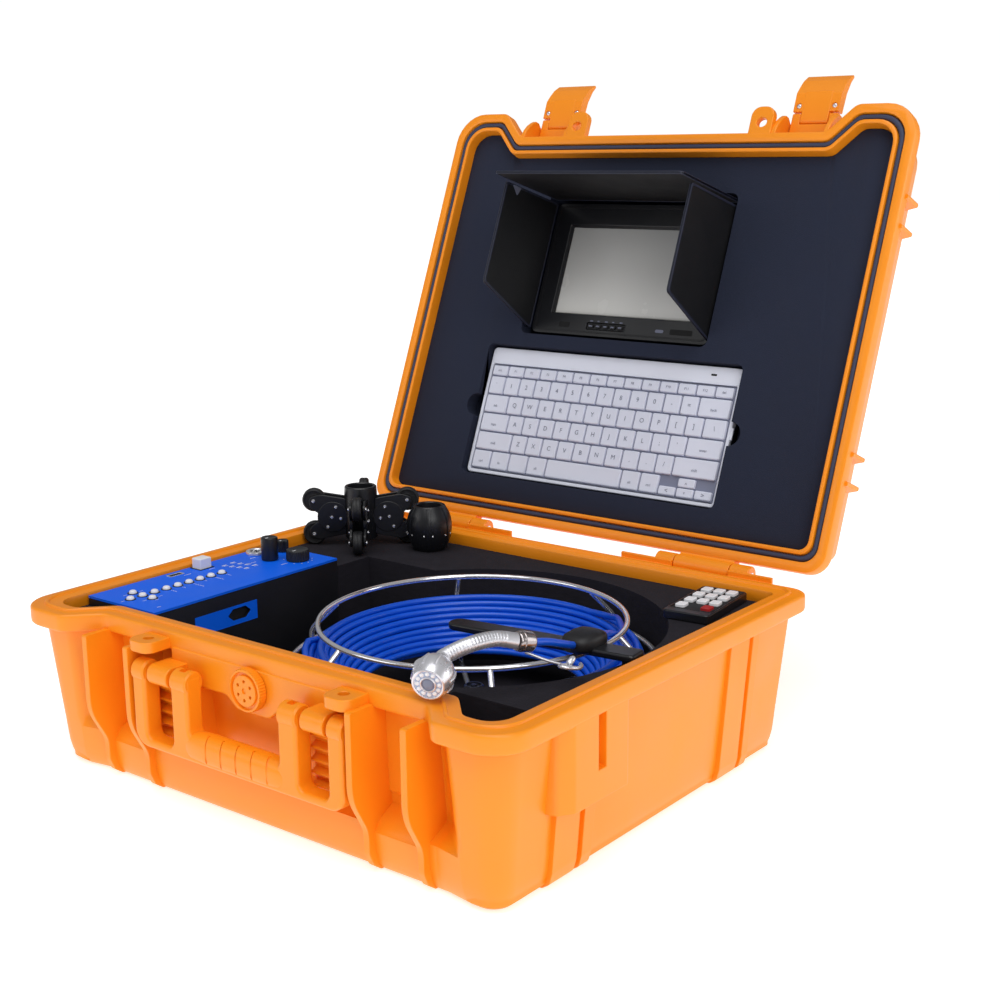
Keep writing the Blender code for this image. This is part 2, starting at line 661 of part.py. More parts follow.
# ---------------------------------------------------------------- contents of the base
def base_foam(frame):
    low = BASE_FLOOR + 0.3
    inset = CAVITY_INSET + 0.5
    rings = [level(inset, low), level(inset, FOAM_TOP)]
    foam = make("base_foam", add_loft(new_shape(), rings), foam_black(), frame)
    well = new_shape()
    add_prism(well, circle(REEL_X, REEL_Y, WELL_RADIUS, 48), "Z", WELL_FLOOR, FOAM_TOP + 20)
    boolean(foam, well, frame, "DIFFERENCE")
    side = new_shape()
    add_box(side, BOX_LEFT - 0.6, BOX_RIGHT + 0.6, BOX_FRONT - 0.6, BOX_BACK + 0.6, 60, FOAM_TOP + 20)
    boolean(foam, side, frame, "DIFFERENCE")
    passage = add_box(new_shape(), BOX_RIGHT - 2, REEL_X, -141, 98, WELL_FLOOR, FOAM_TOP + 20)
    boolean(foam, passage, frame, "DIFFERENCE")
    pocket = add_prism(new_shape(), rounded([(150, -131), (150, -151), (182, -176), (226, -176), (226, -131)],
                                            [2, 6, 6, 14, 2], steps=3), "Z", 62, FOAM_TOP + 20)
    boolean(foam, pocket, frame, "DIFFERENCE")


def control_box(frame):
    housing = new_shape()
    add_box(housing, BOX_LEFT, BOX_RIGHT, BOX_FRONT, BOX_BACK, 62, PANEL_TOP - 2.3)
    box = make("control_box_housing", housing, black(), frame)
    inside = add_box(new_shape(), BOX_LEFT + 2.5, BOX_RIGHT - 2.5, BOX_FRONT + 2.5, BOX_BACK - 2.5,
                     65, PANEL_TOP + 10)
    boolean(box, inside, frame, "DIFFERENCE")
    slot = new_shape()
    add_prism(slot, rounded([(-76, 111), (-70, 106), (-56, 106), (-50, 111), (-56, 116), (-70, 116)], 1.2, 2),
              "X", BOX_RIGHT - 6, BOX_RIGHT + 4)
    boolean(box, slot, frame, "DIFFERENCE")

    panel = new_shape()
    add_box(panel, BOX_LEFT, BOX_RIGHT, BOX_FRONT, BOX_BACK, PANEL_TOP - 2, PANEL_TOP)
    plate = make("control_panel", panel, panel_blue(), frame)
    holes = new_shape()
    for x, y in BUTTON_PLACES:
        add_cylinder(holes, (x, y, PANEL_TOP), "Z", 3.9, 10, 12)
    for x, y, radius in ((*CONNECTOR_CAP, 4.0), (*SPEAKER_KNOB, 3.6), (*DIMMER_KNOB, 4.0), (*SOCKET, 8.3)):
        add_cylinder(holes, (x, y, PANEL_TOP), "Z", radius, 10, 16)
    x, y = DONGLE
    add_box(holes, x - 6.3, x + 6.3, y - 7.0, y + 7.0, PANEL_TOP - 5, PANEL_TOP + 5)
    boolean(plate, holes, frame, "DIFFERENCE")

    board = add_box(new_shape(), BOX_LEFT + 8, BOX_RIGHT - 8, BOX_FRONT + 8, BOX_BACK - 8, 117.0, 118.8)
    make("control_board", board, material("circuit_board", (0.02, 0.16, 0.06), 0.5), frame)
    battery = add_box(new_shape(), BOX_LEFT + 10, BOX_RIGHT - 10, BOX_FRONT + 18, BOX_BACK - 40, 65.4, 100,
                      bevel=3.0)
    make("battery_pack", battery, material("battery_wrap", (0.05, 0.09, 0.3), 0.5), frame)


def add_button(shape, x, y):
    return add_cylinder(shape, (x, y, PANEL_TOP - 0.4), "Z", 3.5, 6.4, 12, top_radius=3.3)


def controls(frame):
    cluster = new_shape()
    reach = CLUSTER_SPACING + 5
    x, y = CLUSTER
    add_box(cluster, x - reach, x + reach, y - reach, y + reach, PANEL_TOP - 4.6, PANEL_TOP - 3.0)
    pad = make("cluster_keys", cluster, key_white(), frame, (x, y, PANEL_TOP))
    caps = new_shape()
    for button_x, button_y in BUTTON_PLACES[:5]:
        add_button(caps, button_x, button_y)
    boolean(pad, caps, frame, "UNION")
    for index, (button_x, button_y) in enumerate(BUTTON_PLACES[5:], start=1):
        make(f"push_button_{index}", add_button(new_shape(), button_x, button_y), key_white(), frame,
             (button_x, button_y, PANEL_TOP))

    x, y = SOCKET
    base = PANEL_TOP
    turned("round_socket", [(0, base - 1.5), (5.5, base - 1.5), (5.5, base + 3), (9.8, base + 3),
                            (9.8, base + 0.3), (7.9, base + 0.3), (7.9, base - 12), (0, base - 12)],
           steel(), frame, (x, y, 0), steps=20)
    turned("connector_cap", [(0, base + 21), (6.5, base + 21), (7.6, base + 19.6), (7.6, base + 0.4),
                             (3.6, base + 0.4), (3.6, base - 6), (0, base - 6)],
           black(), frame, (*CONNECTOR_CAP, 0), steps=20)
    turned("speaker_knob", [(0, base + 11), (4.8, base + 11), (5.6, base + 10.2), (5.6, base + 0.4),
                            (3.2, base + 0.4), (3.2, base - 6), (0, base - 6)],
           black(), frame, (*SPEAKER_KNOB, 0), steps=20)
    turned("dimmer_knob", [(0, base + 10), (9.2, base + 10), (10.4, base + 8.8), (10.4, base + 0.4),
                           (3.6, base + 0.4), (3.6, base - 6), (0, base - 6)],
           black(), frame, (*DIMMER_KNOB, 0), steps=24)

    x, y = DONGLE
    dongle = add_box(new_shape(), x - 5.8, x + 5.8, y - 6.5, y + 6.5, base - 6, base + 9.5, bevel=0.8)
    make("usb_receiver", dongle, key_white(), frame, (x, y, base))


def reel(frame):
    centre = (REEL_X, REEL_Y, 0)
    turned("reel_spindle", [(0, 72), (7, 72), (8, 71), (8, 49.6), (20, 49.6), (34, 44), (34, 40.3), (0, 40.3)],
           black(), frame, centre, steps=24)

    rings = [[(x, y, z) for x, y in circle(REEL_X, REEL_Y, radius, 24)]
             for radius, z in ((30, 58), (30, 50), (8.5, 50), (8.5, 58))]
    cage = make("reel_cage", add_ring(new_shape(), rings), chrome(), frame, centre)
    for radius, height in ((RING_RADIUS, RING_HEIGHT), (147.0, 92.0)):
        ring = [(x, y, height) for x, y in circle(REEL_X, REEL_Y, radius, 36)]
        boolean(cage, tube_shape(ring, WIRE_RADIUS, closed=True, frame=frame), frame, "UNION")
    for index in range(6):
        angle = math.radians(15 + 60 * index)
        route = [(26, 54), (106, 54), (144, 86), (147, 92), (146, 101), (122, 126)]
        leg = [(REEL_X + radius * math.cos(angle), REEL_Y + radius * math.sin(angle), z)
               for radius, z in route]
        boolean(cage, tube_shape(leg, WIRE_RADIUS, frame=frame), frame, "UNION")

    turned("cable_coil", [(122, 113), (130, 113), (143, 99.5), (143, 89), (109, 59.5), (92, 59.5), (84, 66),
                          (84, 70)],
           cable_blue(), frame, centre, steps=36)

    # Fixed guide arm over the ring: a flat bar from its foot on the foam, with a tunnel for the cable
    arm = new_shape()
    bar = rounded([(62, -42), (66, -24), (224, -4), (226, -24)], [8, 8, 4, 4], steps=3)
    add_prism(arm, bar, "Z", 130.4, 136.0)
    guide = make("cable_guide_arm", arm, black(), frame)
    parts = new_shape()
    add_box(parts, 167, 194, -34, -6, 131, 146.0, bevel=1.5)
    boolean(guide, parts, frame, "UNION")
    foot = add_box(new_shape(), 214, 224, -21, -7, FOAM_TOP + 0.3, 134)
    boolean(guide, foot, frame, "UNION")
    tunnel = add_box(new_shape(), 175.6, 185.8, -50, 10, 129, 143)
    boolean(guide, tunnel, frame, "DIFFERENCE")

    tube("cable_lead", LEAD_ROUTE, CABLE_DIAMETER / 2, cable_blue(), frame, spacing=11.0)


def camera_head(frame):
    head = Vector(HEAD_CENTRE)
    face = Vector((0.36, -0.90, -0.22)).normalized()
    back = -face
    start = head + back * (HEAD_RADIUS + 2.2)
    collar_at = Vector((185.0, -107.5, 161.8))
    along = (collar_at - Vector(COLLAR_END)).normalized()
    neck = [start, start + back * 8, Vector((169.5, -137.5, 164.0)), Vector((177.5, -119.5, 165.0)),
            collar_at + along * 1.6]
    tube("neck_spring", neck, 5.8, steel(), frame, spacing=4.5, sides=4)

    turn = face.to_track_quat("Z", "Y").to_euler()
    angles = [math.degrees(value) for value in turn]
    ball = [(0, 12.2), (9.6, 12.2), (12.4, 8.4), (14.4, 1.0), (12.6, -7.4), (8.4, -12.2), (7.4, -15.0),
            (0, -15.0)]
    turned("camera_head", ball, steel(), frame, tuple(head), steps=20, turn=angles)

    turn = along.to_track_quat("Z", "Y").to_euler()
    angles = [math.degrees(value) for value in turn]
    length = (collar_at - Vector(COLLAR_END)).length
    tip = Vector(COLLAR_END) + along * 1.0
    turned("head_collar", [(0, length - 2.0), (6.2, length - 2.0), (7.4, length - 3.0), (7.4, 1.4),
                           (6.6, 0), (0, 0)],
           material("dark_chrome", (0.35, 0.35, 0.36), 0.2, 1.0), frame, tuple(tip), steps=24, turn=angles)


def roller_skid(frame):
    """A tube with four arms, each holding an upper and a lower wheel that roll along the tube's axis."""
    low, high = 131.0, 181.0
    rings = [[(x, y, z) for x, y in circle(SKID_X, SKID_Y, radius, 24)]
             for radius, z in ((15, low), (15, high), (12, high), (12, low))]
    body = make("skid_body", add_ring(new_shape(), rings), black(), frame, (SKID_X, SKID_Y, FOAM_TOP))
    wheel_low, wheel_high = FOAM_TOP + 11.4, FOAM_TOP + 43.0
    for index, word in enumerate(("right", "back", "left", "front")):
        angle = math.radians(39 + 90 * index)
        spin = Matrix.Translation((SKID_X, SKID_Y, 0)) @ Matrix.Rotation(angle, 4, "Z")
        for side in (-1, 1):
            arm = new_shape()
            plate = rounded([(12.6, 136), (38, 131), (49, 134), (47, 143), (34, 152.2), (47, 161), (49, 171),
                             (38, 174), (12.6, 170)], [2, 5, 4, 4, 4, 4, 4, 5, 2], steps=2)
            inner, outer = 4.9, 7.6
            add_prism(arm, plate, "Y", side * inner, side * outer)
            bmesh.ops.transform(arm, matrix=spin, verts=arm.verts)
            boolean(body, arm, frame, "UNION")
        for rank, height in (("lower", wheel_low), ("upper", wheel_high)):
            hub = spin @ Vector((SKID_REACH, 0, height))
            turned(f"skid_wheel_{word}_{rank}", WHEEL_PROFILE, rubber(), frame, tuple(hub), steps=16,
                   turn=(90, 0, 39 + 90 * index))


def ball_skid(frame):
    """A slotted barrel with an open bore, standing on its flat foot."""
    z = FOAM_TOP + 0.3
    profile = [(12, z + 42), (14, z + 42), (18.6, z + 35), (21.2, z + 23), (19.6, z + 10), (14.5, z), (11, z)]
    turned("ball_skid", profile, black(), frame, (BALL_X, BALL_Y, 0), steps=22)


def remote(frame):
    pivot = (REMOTE_X, REMOTE_Y, FOAM_TOP)
    z = FOAM_TOP + 0.3
    case = add_box(new_shape(), REMOTE_X - 20, REMOTE_X + 20, REMOTE_Y - 39, REMOTE_Y + 39, z, z + 7.5,
                   bevel=1.6)
    make("remote_case", case, black(), frame, pivot, (0, 0, REMOTE_TURN))
    recess = add_box(new_shape(), REMOTE_X - 17.6, REMOTE_X + 17.6, REMOTE_Y - 36.6, REMOTE_Y + 36.6,
                     z + 5.2, z + 12)
    boolean(bpy.data.objects["remote_case"], recess, frame, "DIFFERENCE")
    keys = add_box(new_shape(), REMOTE_X - 17, REMOTE_X + 17, REMOTE_Y - 36, REMOTE_Y + 36, z + 6.0, z + 7.4)
    pad = make("remote_keys", keys, rubber(), frame, pivot, (0, 0, REMOTE_TURN))
    caps = new_shape()
    for column in range(3):
        for row in range(4):
            x = REMOTE_X + (column - 1) * 11.0
            y = REMOTE_Y - 26 + row * 15.5
            add_box(caps, x - 4.2, x + 4.2, y - 5.2, y + 5.2, z + 7.0, z + 9.4)
    boolean(pad, caps, frame, "UNION")


# ---------------------------------------------------------------- contents of the lid
def lid_foam(frame):
    pivot = (0, HINGE_Y, HINGE_Z)
    rings = [level(19.4, LID_FOAM_FACE), level(22.9, CASE_CLOSED_TOP - 4.6)]
    foam = make("lid_foam", add_loft(new_shape(), rings), foam_black(), frame, pivot)
    x, y = MONITOR_X, MONITOR_Y
    w, h = MONITOR_HALF_WIDTH + 5, MONITOR_HALF_HEIGHT + 4.5
    top = y - h - 4
    recess = rounded([(x - w, top), (x + w, top), (x + w, y + h), (x - w, y + h)], 6.0, steps=3)
    shape = add_prism(new_shape(), recess, "Z", 120, 187.6)
    boolean(foam, shape, frame, "DIFFERENCE")
    x, y = KEYBOARD_X, KEYBOARD_Y
    w, h = KEYBOARD_HALF[0] + 2.0, KEYBOARD_HALF[1] + 2.0
    pocket = add_box(new_shape(), x - w, x + w, y - h, y + h, 120, 161.0)
    boolean(foam, pocket, frame, "DIFFERENCE")
    notches = new_shape()
    for side in (-1, 1):
        add_cylinder(notches, (x + side * w, y - 3, 140.5), "Z", 11.0, 41.0, 20)
    boolean(foam, notches, frame, "DIFFERENCE")


def monitor(frame):
    pivot = (MONITOR_X, MONITOR_Y, BEZEL_FACE)
    x, y = MONITOR_X, MONITOR_Y
    w, h = MONITOR_HALF_WIDTH, MONITOR_HALF_HEIGHT
    body = add_box(new_shape(), x - w + 1, x + w - 1, y - h + 1, y + h - 1, 160.3, 187.0, bevel=3.0)
    housing = make("monitor_housing", body, black(), frame, pivot)
    sx, sy = SCREEN_CENTRE
    well = add_box(new_shape(), sx - 81, sx + 81, sy - 47.5, sy + 47.5, 150, 166)
    boolean(housing, well, frame, "DIFFERENCE")
    panel = add_box(new_shape(), sx - 80.5, sx + 80.5, sy - 47, sy + 47, 160.3, 165.7)
    make("lcd_panel", panel, material("screen", (0.35, 0.35, 0.34), 0.2), frame, pivot)

    front = add_box(new_shape(), x - w, x + w, y - h, y + h, BEZEL_FACE, 160.0, bevel=1.2)
    bezel = make("monitor_bezel", front, black(), frame, pivot)
    a, b = SCREEN_HALF
    opening = new_shape()
    rings = [[(sx - a - grow, sy - b - grow, z), (sx + a + grow, sy - b - grow, z),
              (sx + a + grow, sy + b + grow, z), (sx - a - grow, sy + b + grow, z)]
             for grow, z in ((2, 154), (0, 158.5), (0, 162))]
    add_loft(opening, rings)
    boolean(bezel, opening, frame, "DIFFERENCE")
    strip = add_box(new_shape(), sx - 34, sx + 10, 1.0, 8.0, 150, 158.6)
    boolean(bezel, strip, frame, "DIFFERENCE")
    keys = new_shape()
    add_box(keys, sx - 33.5, sx + 9.5, 1.5, 7.5, 155.8, 157.4)
    pad = make("monitor_keys", keys, rubber(), frame, (sx - 12, 4.5, BEZEL_FACE))
    caps = new_shape()
    for step in range(5):
        add_box(caps, sx - 32 + step * 8.4, sx - 26 + step * 8.4, 2.2, 6.8, 154.0, 156.2)
    boolean(pad, caps, frame, "UNION")


def sunshade(frame):
    """Three flaps hinged along the bezel's top and sides, standing open."""
    z = HOOD_HINGE_Z
    left, right = MONITOR_X - MONITOR_HALF_WIDTH - 1.6, MONITOR_X + MONITOR_HALF_WIDTH + 1.6
    top_edge = MONITOR_Y - MONITOR_HALF_HEIGHT
    thickness = 2.0
    side_depth, top_depth = 84.0, 104.0
    for x, word in ((left, "left"), (right, "right")):
        outline = rounded([(top_edge + 1.2, z + 1), (top_edge + 10.0, z - side_depth),
                           (-9, z - side_depth), (12, z + 1)], [1, 2, 3, 2], steps=2)
        flap = add_prism(new_shape(), outline, "X", x - thickness / 2, x + thickness / 2)
        make(f"sunshade_{word}", flap, black(), frame, (x, MONITOR_Y, z))
    top = new_shape()
    y = top_edge - 3.5
    outline = rounded([(left - 1, z + 1), (right + 1, z + 1), (right + 1, z - top_depth),
                       (left - 1, z - top_depth)], [1, 1, 3, 3], steps=2)
    add_prism(top, outline, "Y", y - thickness / 2, y + thickness / 2)
    make("sunshade_top", top, black(), frame, (MONITOR_X, y, z), (TOP_FLAP_DROOP, 0, 0))


def keyboard(frame):
    x, y = KEYBOARD_X, KEYBOARD_Y
    w, h = KEYBOARD_HALF
    pivot = (x, y, 156.0)
    tray = add_box(new_shape(), x - w, x + w, y - h, y + h, 151.5, 160.4, bevel=1.4)
    case = make("keyboard_case", tray, silver(), frame, pivot)
    bed = add_box(new_shape(), x - w + 4, x + w - 4, y - h + 17, y + h - 4, 140, 155.2)
    boolean(case, bed, frame, "DIFFERENCE")
    keys = add_box(new_shape(), x - w + 4.5, x + w - 4.5, y - h + 17.5, y + h - 4.5, 153.0, 154.4)
    pad = make("keyboard_keys", keys, key_white(), frame, pivot)
    caps = new_shape()
    for row, widths in enumerate(KEY_ROWS):
        depth = (2 * h - 22) / 6.0
        y0 = y - h + 17.6 + row * depth
        unit = (2 * w - 9) / sum(widths)
        left = x - w + 4.5
        for wide in widths:
            add_box(caps, left + 0.9, left + wide * unit - 0.9, y0 + 0.9, y0 + depth - 0.9, 150.2, 153.4)
            left += wide * unit
    boolean(pad, caps, frame, "UNION")


def build():
    clear_scene()
    base = Frame("base_frame", (0, 0, 0))
    lid = Frame("lid_axis", (0, HINGE_Y, HINGE_Z), tilt=-LID_OPEN)
    base_shell(base)
    base_foam(base)
    hinge_pins(base)
    carry_handle(base)
    relief_valve(base)
    control_box(base)
    controls(base)
    reel(base)
    camera_head(base)
    roller_skid(base)
    ball_skid(base)
    remote(base)
    lid_shell(lid)
    lid_gasket(lid)
    latches(lid)
    lid_foam(lid)
    monitor(lid)
    sunshade(lid)
    keyboard(lid)


build()
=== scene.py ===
"""Looks of the pipe inspection camera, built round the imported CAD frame.

Pieces are drawn in millimetres in the frame of the case: X to the right, -Y to the front, +Z up.
Everything in the lid is drawn with the lid closed, then turned open about its hinge.
"""
import math

import bmesh
import bpy
from mathutils import Matrix, Vector


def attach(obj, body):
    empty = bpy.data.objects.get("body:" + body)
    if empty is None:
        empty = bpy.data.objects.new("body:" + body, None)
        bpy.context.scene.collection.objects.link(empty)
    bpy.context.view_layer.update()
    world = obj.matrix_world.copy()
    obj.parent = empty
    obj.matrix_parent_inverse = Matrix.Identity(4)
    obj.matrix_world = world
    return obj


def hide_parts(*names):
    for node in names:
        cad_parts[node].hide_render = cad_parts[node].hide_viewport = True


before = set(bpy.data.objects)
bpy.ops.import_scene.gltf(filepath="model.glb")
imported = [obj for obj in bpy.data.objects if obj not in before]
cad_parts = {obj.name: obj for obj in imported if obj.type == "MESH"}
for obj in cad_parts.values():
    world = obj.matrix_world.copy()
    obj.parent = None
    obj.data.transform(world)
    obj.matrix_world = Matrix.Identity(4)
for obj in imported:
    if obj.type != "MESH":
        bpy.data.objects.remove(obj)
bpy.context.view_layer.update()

MM = 0.001

# The case's plan and heights, as in the CAD
HALF_WIDTH, BACK, EAR_FRONT, MIDDLE_FRONT = 250.5, 205.0, -205.0, -180.0
EAR_INNER, STEP_INNER = 192.0, 168.0
HINGE_Y, HINGE_Z, LID_OPEN = 215.0, 135.0, 112.0
FOAM_TOP, PANEL_TOP = 125.0, 133.0
REEL_X, REEL_Y = 58.0, 2.0
LATCH_X, LATCH_Y, LATCH_Z = 141.0, -188.5, 163.0
MONITOR_X, MONITOR_Y, BEZEL_FACE = -15.0, -51.5, 155.0
SCREEN_X, SCREEN_Y, SCREEN_W, SCREEN_H = -17.0, -51.0, 77.0, 43.3
BOARD_X, BOARD_Y, BOARD_W, BOARD_H = -11.0, 97.5, 141.0, 63.5
SKID_X, SKID_Y, SKID_REACH = -183.0, 131.0, 44.0
BALL_X, BALL_Y = -117.0, 153.0
REMOTE_X, REMOTE_Y, REMOTE_TURN = 190.0, 137.0, 6.0
RING_RADIUS, RING_HEIGHT = 122.0, 127.0          # the cage's upper ring, and where the cage is widest
WIDE_RADIUS, WIDE_HEIGHT, WIRE = 147.0, 92.0, 2.2
CABLE, ROW_PITCH, TURN_STEPS = 5.5, 5.62, 72
CAMERA_AZIMUTH, CAMERA_ELEVATION, CAMERA_ROLL = -38.332, 12.851, -0.582
CAMERA_AIM, CAMERA_DISTANCE, CAMERA_LENS = (-150.38, 301.729, 139.581), 1561.164, 55.052
GLOSS_CHANGE = 0.06     # how far roughness wanders either way



def shift(x, y, z):
    return Matrix.Translation((x, y, z))


def spun(angle, axis):
    return Matrix.Rotation(math.radians(angle), 4, axis)


LID = shift(0, HINGE_Y, HINGE_Z) @ spun(-LID_OPEN, "X") @ shift(0, -HINGE_Y, -HINGE_Z)
IN_LID = ("lid", "latch", "sunshade", "keyboard", "key_pad", "monitor")     # how those bodies' names begin


def sides(x0, x1):
    """The same stretch on the right and on the left of the middle."""
    return ((x0, x1), (-x1, -x0))


def on_reel(angle, radius, height):
    turn = math.radians(angle)
    return Vector((REEL_X + radius * math.cos(turn), REEL_Y + radius * math.sin(turn), height))


# ---------------------------------------------------------------- camera
def make_camera():
    azimuth, elevation, roll = (math.radians(value) for value in (CAMERA_AZIMUTH, CAMERA_ELEVATION,
                                                                  CAMERA_ROLL))
    away = Vector((math.sin(-azimuth) * math.cos(elevation), -math.cos(azimuth) * math.cos(elevation),
                   math.sin(elevation)))
    across = (-away).cross(Vector((0, 0, 1))).normalized()
    upward = across.cross(-away)
    right = math.cos(roll) * across + math.sin(roll) * upward
    up = -math.sin(roll) * across + math.cos(roll) * upward
    matrix = Matrix((right, up, away)).transposed().to_4x4()
    matrix.translation = (Vector(CAMERA_AIM) + away * CAMERA_DISTANCE) * MM
    data = bpy.data.cameras.new("camera")
    data.sensor_width = 36.0
    data.lens = CAMERA_LENS
    data.clip_start, data.clip_end = 0.05, 60.0
    thing = bpy.data.objects.new("camera", data)
    bpy.context.scene.collection.objects.link(thing)
    thing.matrix_world = matrix
    bpy.context.scene.camera = thing


# ---------------------------------------------------------------- materials
def srgb(red, green, blue):
    def linear(value):
        value /= 255.0
        return value / 12.92 if value <= 0.04045 else ((value + 0.055) / 1.055) ** 2.4
    return (linear(red), linear(green), linear(blue), 1.0)


def shaded(colour, amount):
    return tuple(min(value * amount, 1.0) for value in colour[:3]) + (1.0,)


def add_node(tree, kind, constants=(), **settings):
    made = tree.nodes.new("ShaderNode" + kind)
    for name, value in settings.items():
        setattr(made, name, value)
    for socket, value in dict(constants).items():
        made.inputs[socket].default_value = value
    return made


def surface(name, slot, colour, roughness, metallic=0.0, spread=0.06, patch=22.0, grain=1100.0, bump=0.06,
            depth=0.0004, stretch=(1.0, 1.0, 1.0), coat=0.0, specular=0.5):
    """Moulded or metal finish: a slow change of colour and gloss, and a fine grain that catches the light."""
    made = bpy.data.materials.new(name)
    made["slot"] = slot
    made.use_nodes = True
    tree = made.node_tree
    link = tree.links.new
    shader = tree.nodes["Principled BSDF"]
    for socket, value in (("Metallic", metallic), ("Coat Weight", coat), ("Coat Roughness", 0.12),
                          ("Specular IOR Level", specular)):
        shader.inputs[socket].default_value = value
    where = add_node(tree, "TexCoord")
    scaled = add_node(tree, "Mapping", {"Scale": stretch})
    slow = add_node(tree, "TexNoise", {"Scale": patch, "Detail": 4.0})
    fine = add_node(tree, "TexNoise", {"Scale": grain, "Detail": 2.0})
    tint = add_node(tree, "Mix", {6: shaded(colour, 1.0 - spread), 7: shaded(colour, 1.0 + spread)},
                    data_type="RGBA")
    gloss = add_node(tree, "MapRange", {"From Min": 0.3, "From Max": 0.7,
                                        "To Min": max(roughness - GLOSS_CHANGE, 0.02),
                                        "To Max": min(roughness + GLOSS_CHANGE, 1.0)})
    relief = add_node(tree, "Bump", {"Strength": bump, "Distance": depth})
    link(where.outputs["Object"], scaled.inputs["Vector"])
    for noise in (slow, fine):
        link(scaled.outputs["Vector"], noise.inputs["Vector"])
    link(slow.outputs["Fac"], tint.inputs[0])
    link(tint.outputs[2], shader.inputs["Base Color"])
    link(slow.outputs["Fac"], gloss.inputs["Value"])
    link(gloss.outputs["Result"], shader.inputs["Roughness"])
    link(fine.outputs["Fac"], relief.inputs["Height"])
    link(relief.outputs["Normal"], shader.inputs["Normal"])
    return made


def screen_painted_reflection():
    """A dark panel with a painted reflection of the room: its colour runs lighter towards its lower left corner."""
    made = surface("screen_painted_reflection", "screen", srgb(150, 150, 147), 0.22, bump=0.01)
    tree = made.node_tree
    link = tree.links.new
    where = add_node(tree, "TexCoord")
    split = add_node(tree, "SeparateXYZ")
    across = add_node(tree, "Math", {1: 0.38}, operation="MULTIPLY")
    slant = add_node(tree, "Math", {1: 0.62}, operation="MULTIPLY_ADD")
    # The colour ramp is a painted reflection: light grey at the lower left, mid grey towards the upper right.
    ramp = add_node(tree, "ValToRGB")
    light, dark = ramp.color_ramp.elements
    light.position, light.color = 0.05, srgb(232, 231, 226)
    dark.position, dark.color = 0.95, srgb(160, 161, 160)
    link(where.outputs["Generated"], split.inputs["Vector"])
    link(split.outputs["X"], across.inputs[0])
    link(split.outputs["Z"], slant.inputs[0])
    link(across.outputs["Value"], slant.inputs[2])
    link(slant.outputs["Value"], ramp.inputs["Fac"])
    link(ramp.outputs["Color"], tree.nodes["Principled BSDF"].inputs["Base Color"])
    return made


ORANGE = surface("orange_plastic", "case_orange", srgb(255, 149, 20), 0.38, spread=0.05, bump=0.10,
                 depth=0.0003, specular=0.5)
FOAM = surface("cut_foam", "foam", srgb(38, 36, 42), 0.95, spread=0.35, patch=90.0, grain=700.0, bump=0.7,
               depth=0.0008, stretch=(1.0, 1.0, 3.4), specular=0.15)
LID_FOAM = surface("lid_foam_navy", "lid_foam", srgb(38, 43, 60), 0.9, spread=0.10, patch=30.0, grain=1500.0,
                   bump=0.45, depth=0.0005, specular=0.2)
BLACK = surface("black_moulding", "black_plastic", srgb(22, 23, 27), 0.34, spread=0.2, bump=0.08)
SATIN = surface("satin_black", "black_plastic", srgb(18, 18, 22), 0.5, spread=0.2, bump=0.2)
SHADE = surface("sunshade_board", "sunshade", srgb(8, 9, 14), 0.62, spread=0.25, grain=1800.0, bump=0.3)
# The sunshade's edging is a lighter navy than its board: a painted highlight on edge faces that catch the light.
SHADE_EDGE_HIGHLIGHT = surface("sunshade_edge_painted_highlight", "sunshade", srgb(38, 42, 60), 0.5, spread=0.2, grain=1800.0, bump=0.2)
GASKET = surface("gasket_rubber", "gasket", srgb(52, 58, 84), 0.55, spread=0.15, bump=0.2)
PANEL = surface("panel_sheet", "panel_blue", srgb(0, 102, 244), 0.45, spread=0.05, bump=0.05, specular=0.25)
STEEL = surface("satin_steel", "steel", srgb(232, 232, 238), 0.27, metallic=0.72, spread=0.08, patch=60.0,
                grain=1600.0, bump=0.05)
BRIGHT = surface("polished_wire", "chrome_wire", srgb(244, 244, 248), 0.13, metallic=0.82, spread=0.05,
                 patch=90.0, bump=0.03)
DARK_CHROME = surface("dark_chrome_sleeve", "dark_chrome", srgb(176, 168, 168), 0.22, metallic=0.9, spread=0.12,
                      patch=120.0, bump=0.03)
CABLE_BLUE = surface("cable_sheath", "cable_blue", srgb(0, 84, 214), 0.34, spread=0.1, patch=60.0, grain=2500.0,
                     bump=0.05, coat=0.1)
SILVER = surface("silver_moulding", "silver_plastic", srgb(222, 225, 238), 0.36, spread=0.03, bump=0.08)
KEY = surface("key_plastic", "white_keys", srgb(216, 219, 234), 0.42, spread=0.03, bump=0.1)
WHITE = surface("white_plastic", "white_keys", srgb(240, 240, 244), 0.35, spread=0.02, bump=0.05)
PRINT = surface("grey_print", "white_keys", srgb(110, 114, 134), 0.5, spread=0.05, bump=0.02)
KEY_EDGE = surface("key_well", "silver_plastic", srgb(120, 124, 146), 0.5, spread=0.05, bump=0.05)
RUBBER = surface("soft_rubber", "key_rubber", srgb(24, 24, 27), 0.7, spread=0.2, bump=0.25)
TYRE = surface("tyre_rubber", "wheel_rubber", srgb(20, 20, 23), 0.55, spread=0.2, bump=0.2)
RED = surface("red_key", "key_rubber", srgb(170, 28, 30), 0.5, spread=0.05, bump=0.1)
# Near-black: the own colour of the socket's core, the sensor windows and the keyboard's light window, and also
# painted shade in the port's opening and behind the side plate's slot.
DARK = surface("near_black_and_painted_shade", "black_plastic", srgb(8, 8, 10), 0.8, spread=0.1, bump=0.1)
NICKEL = surface("brushed_nickel", "steel", srgb(226, 226, 232), 0.38, metallic=0.78, spread=0.05, patch=40.0,
                 bump=0.02)
HEAD_FACE = surface("lamp_plate", "steel", srgb(158, 170, 196), 0.3, metallic=0.35, spread=0.05, bump=0.02)
SCREEN = screen_painted_reflection()


# ---------------------------------------------------------------- shapes, in millimetres
def new():
    return bmesh.new()


def add_box(shape, x0, x1, y0, y1, z0, z1):
    size = Matrix.Diagonal((x1 - x0, y1 - y0, z1 - z0, 1.0))
    middle = shift((x0 + x1) / 2, (y0 + y1) / 2, (z0 + z1) / 2)
    bmesh.ops.create_cube(shape, size=1.0, matrix=middle @ size)
    return shape


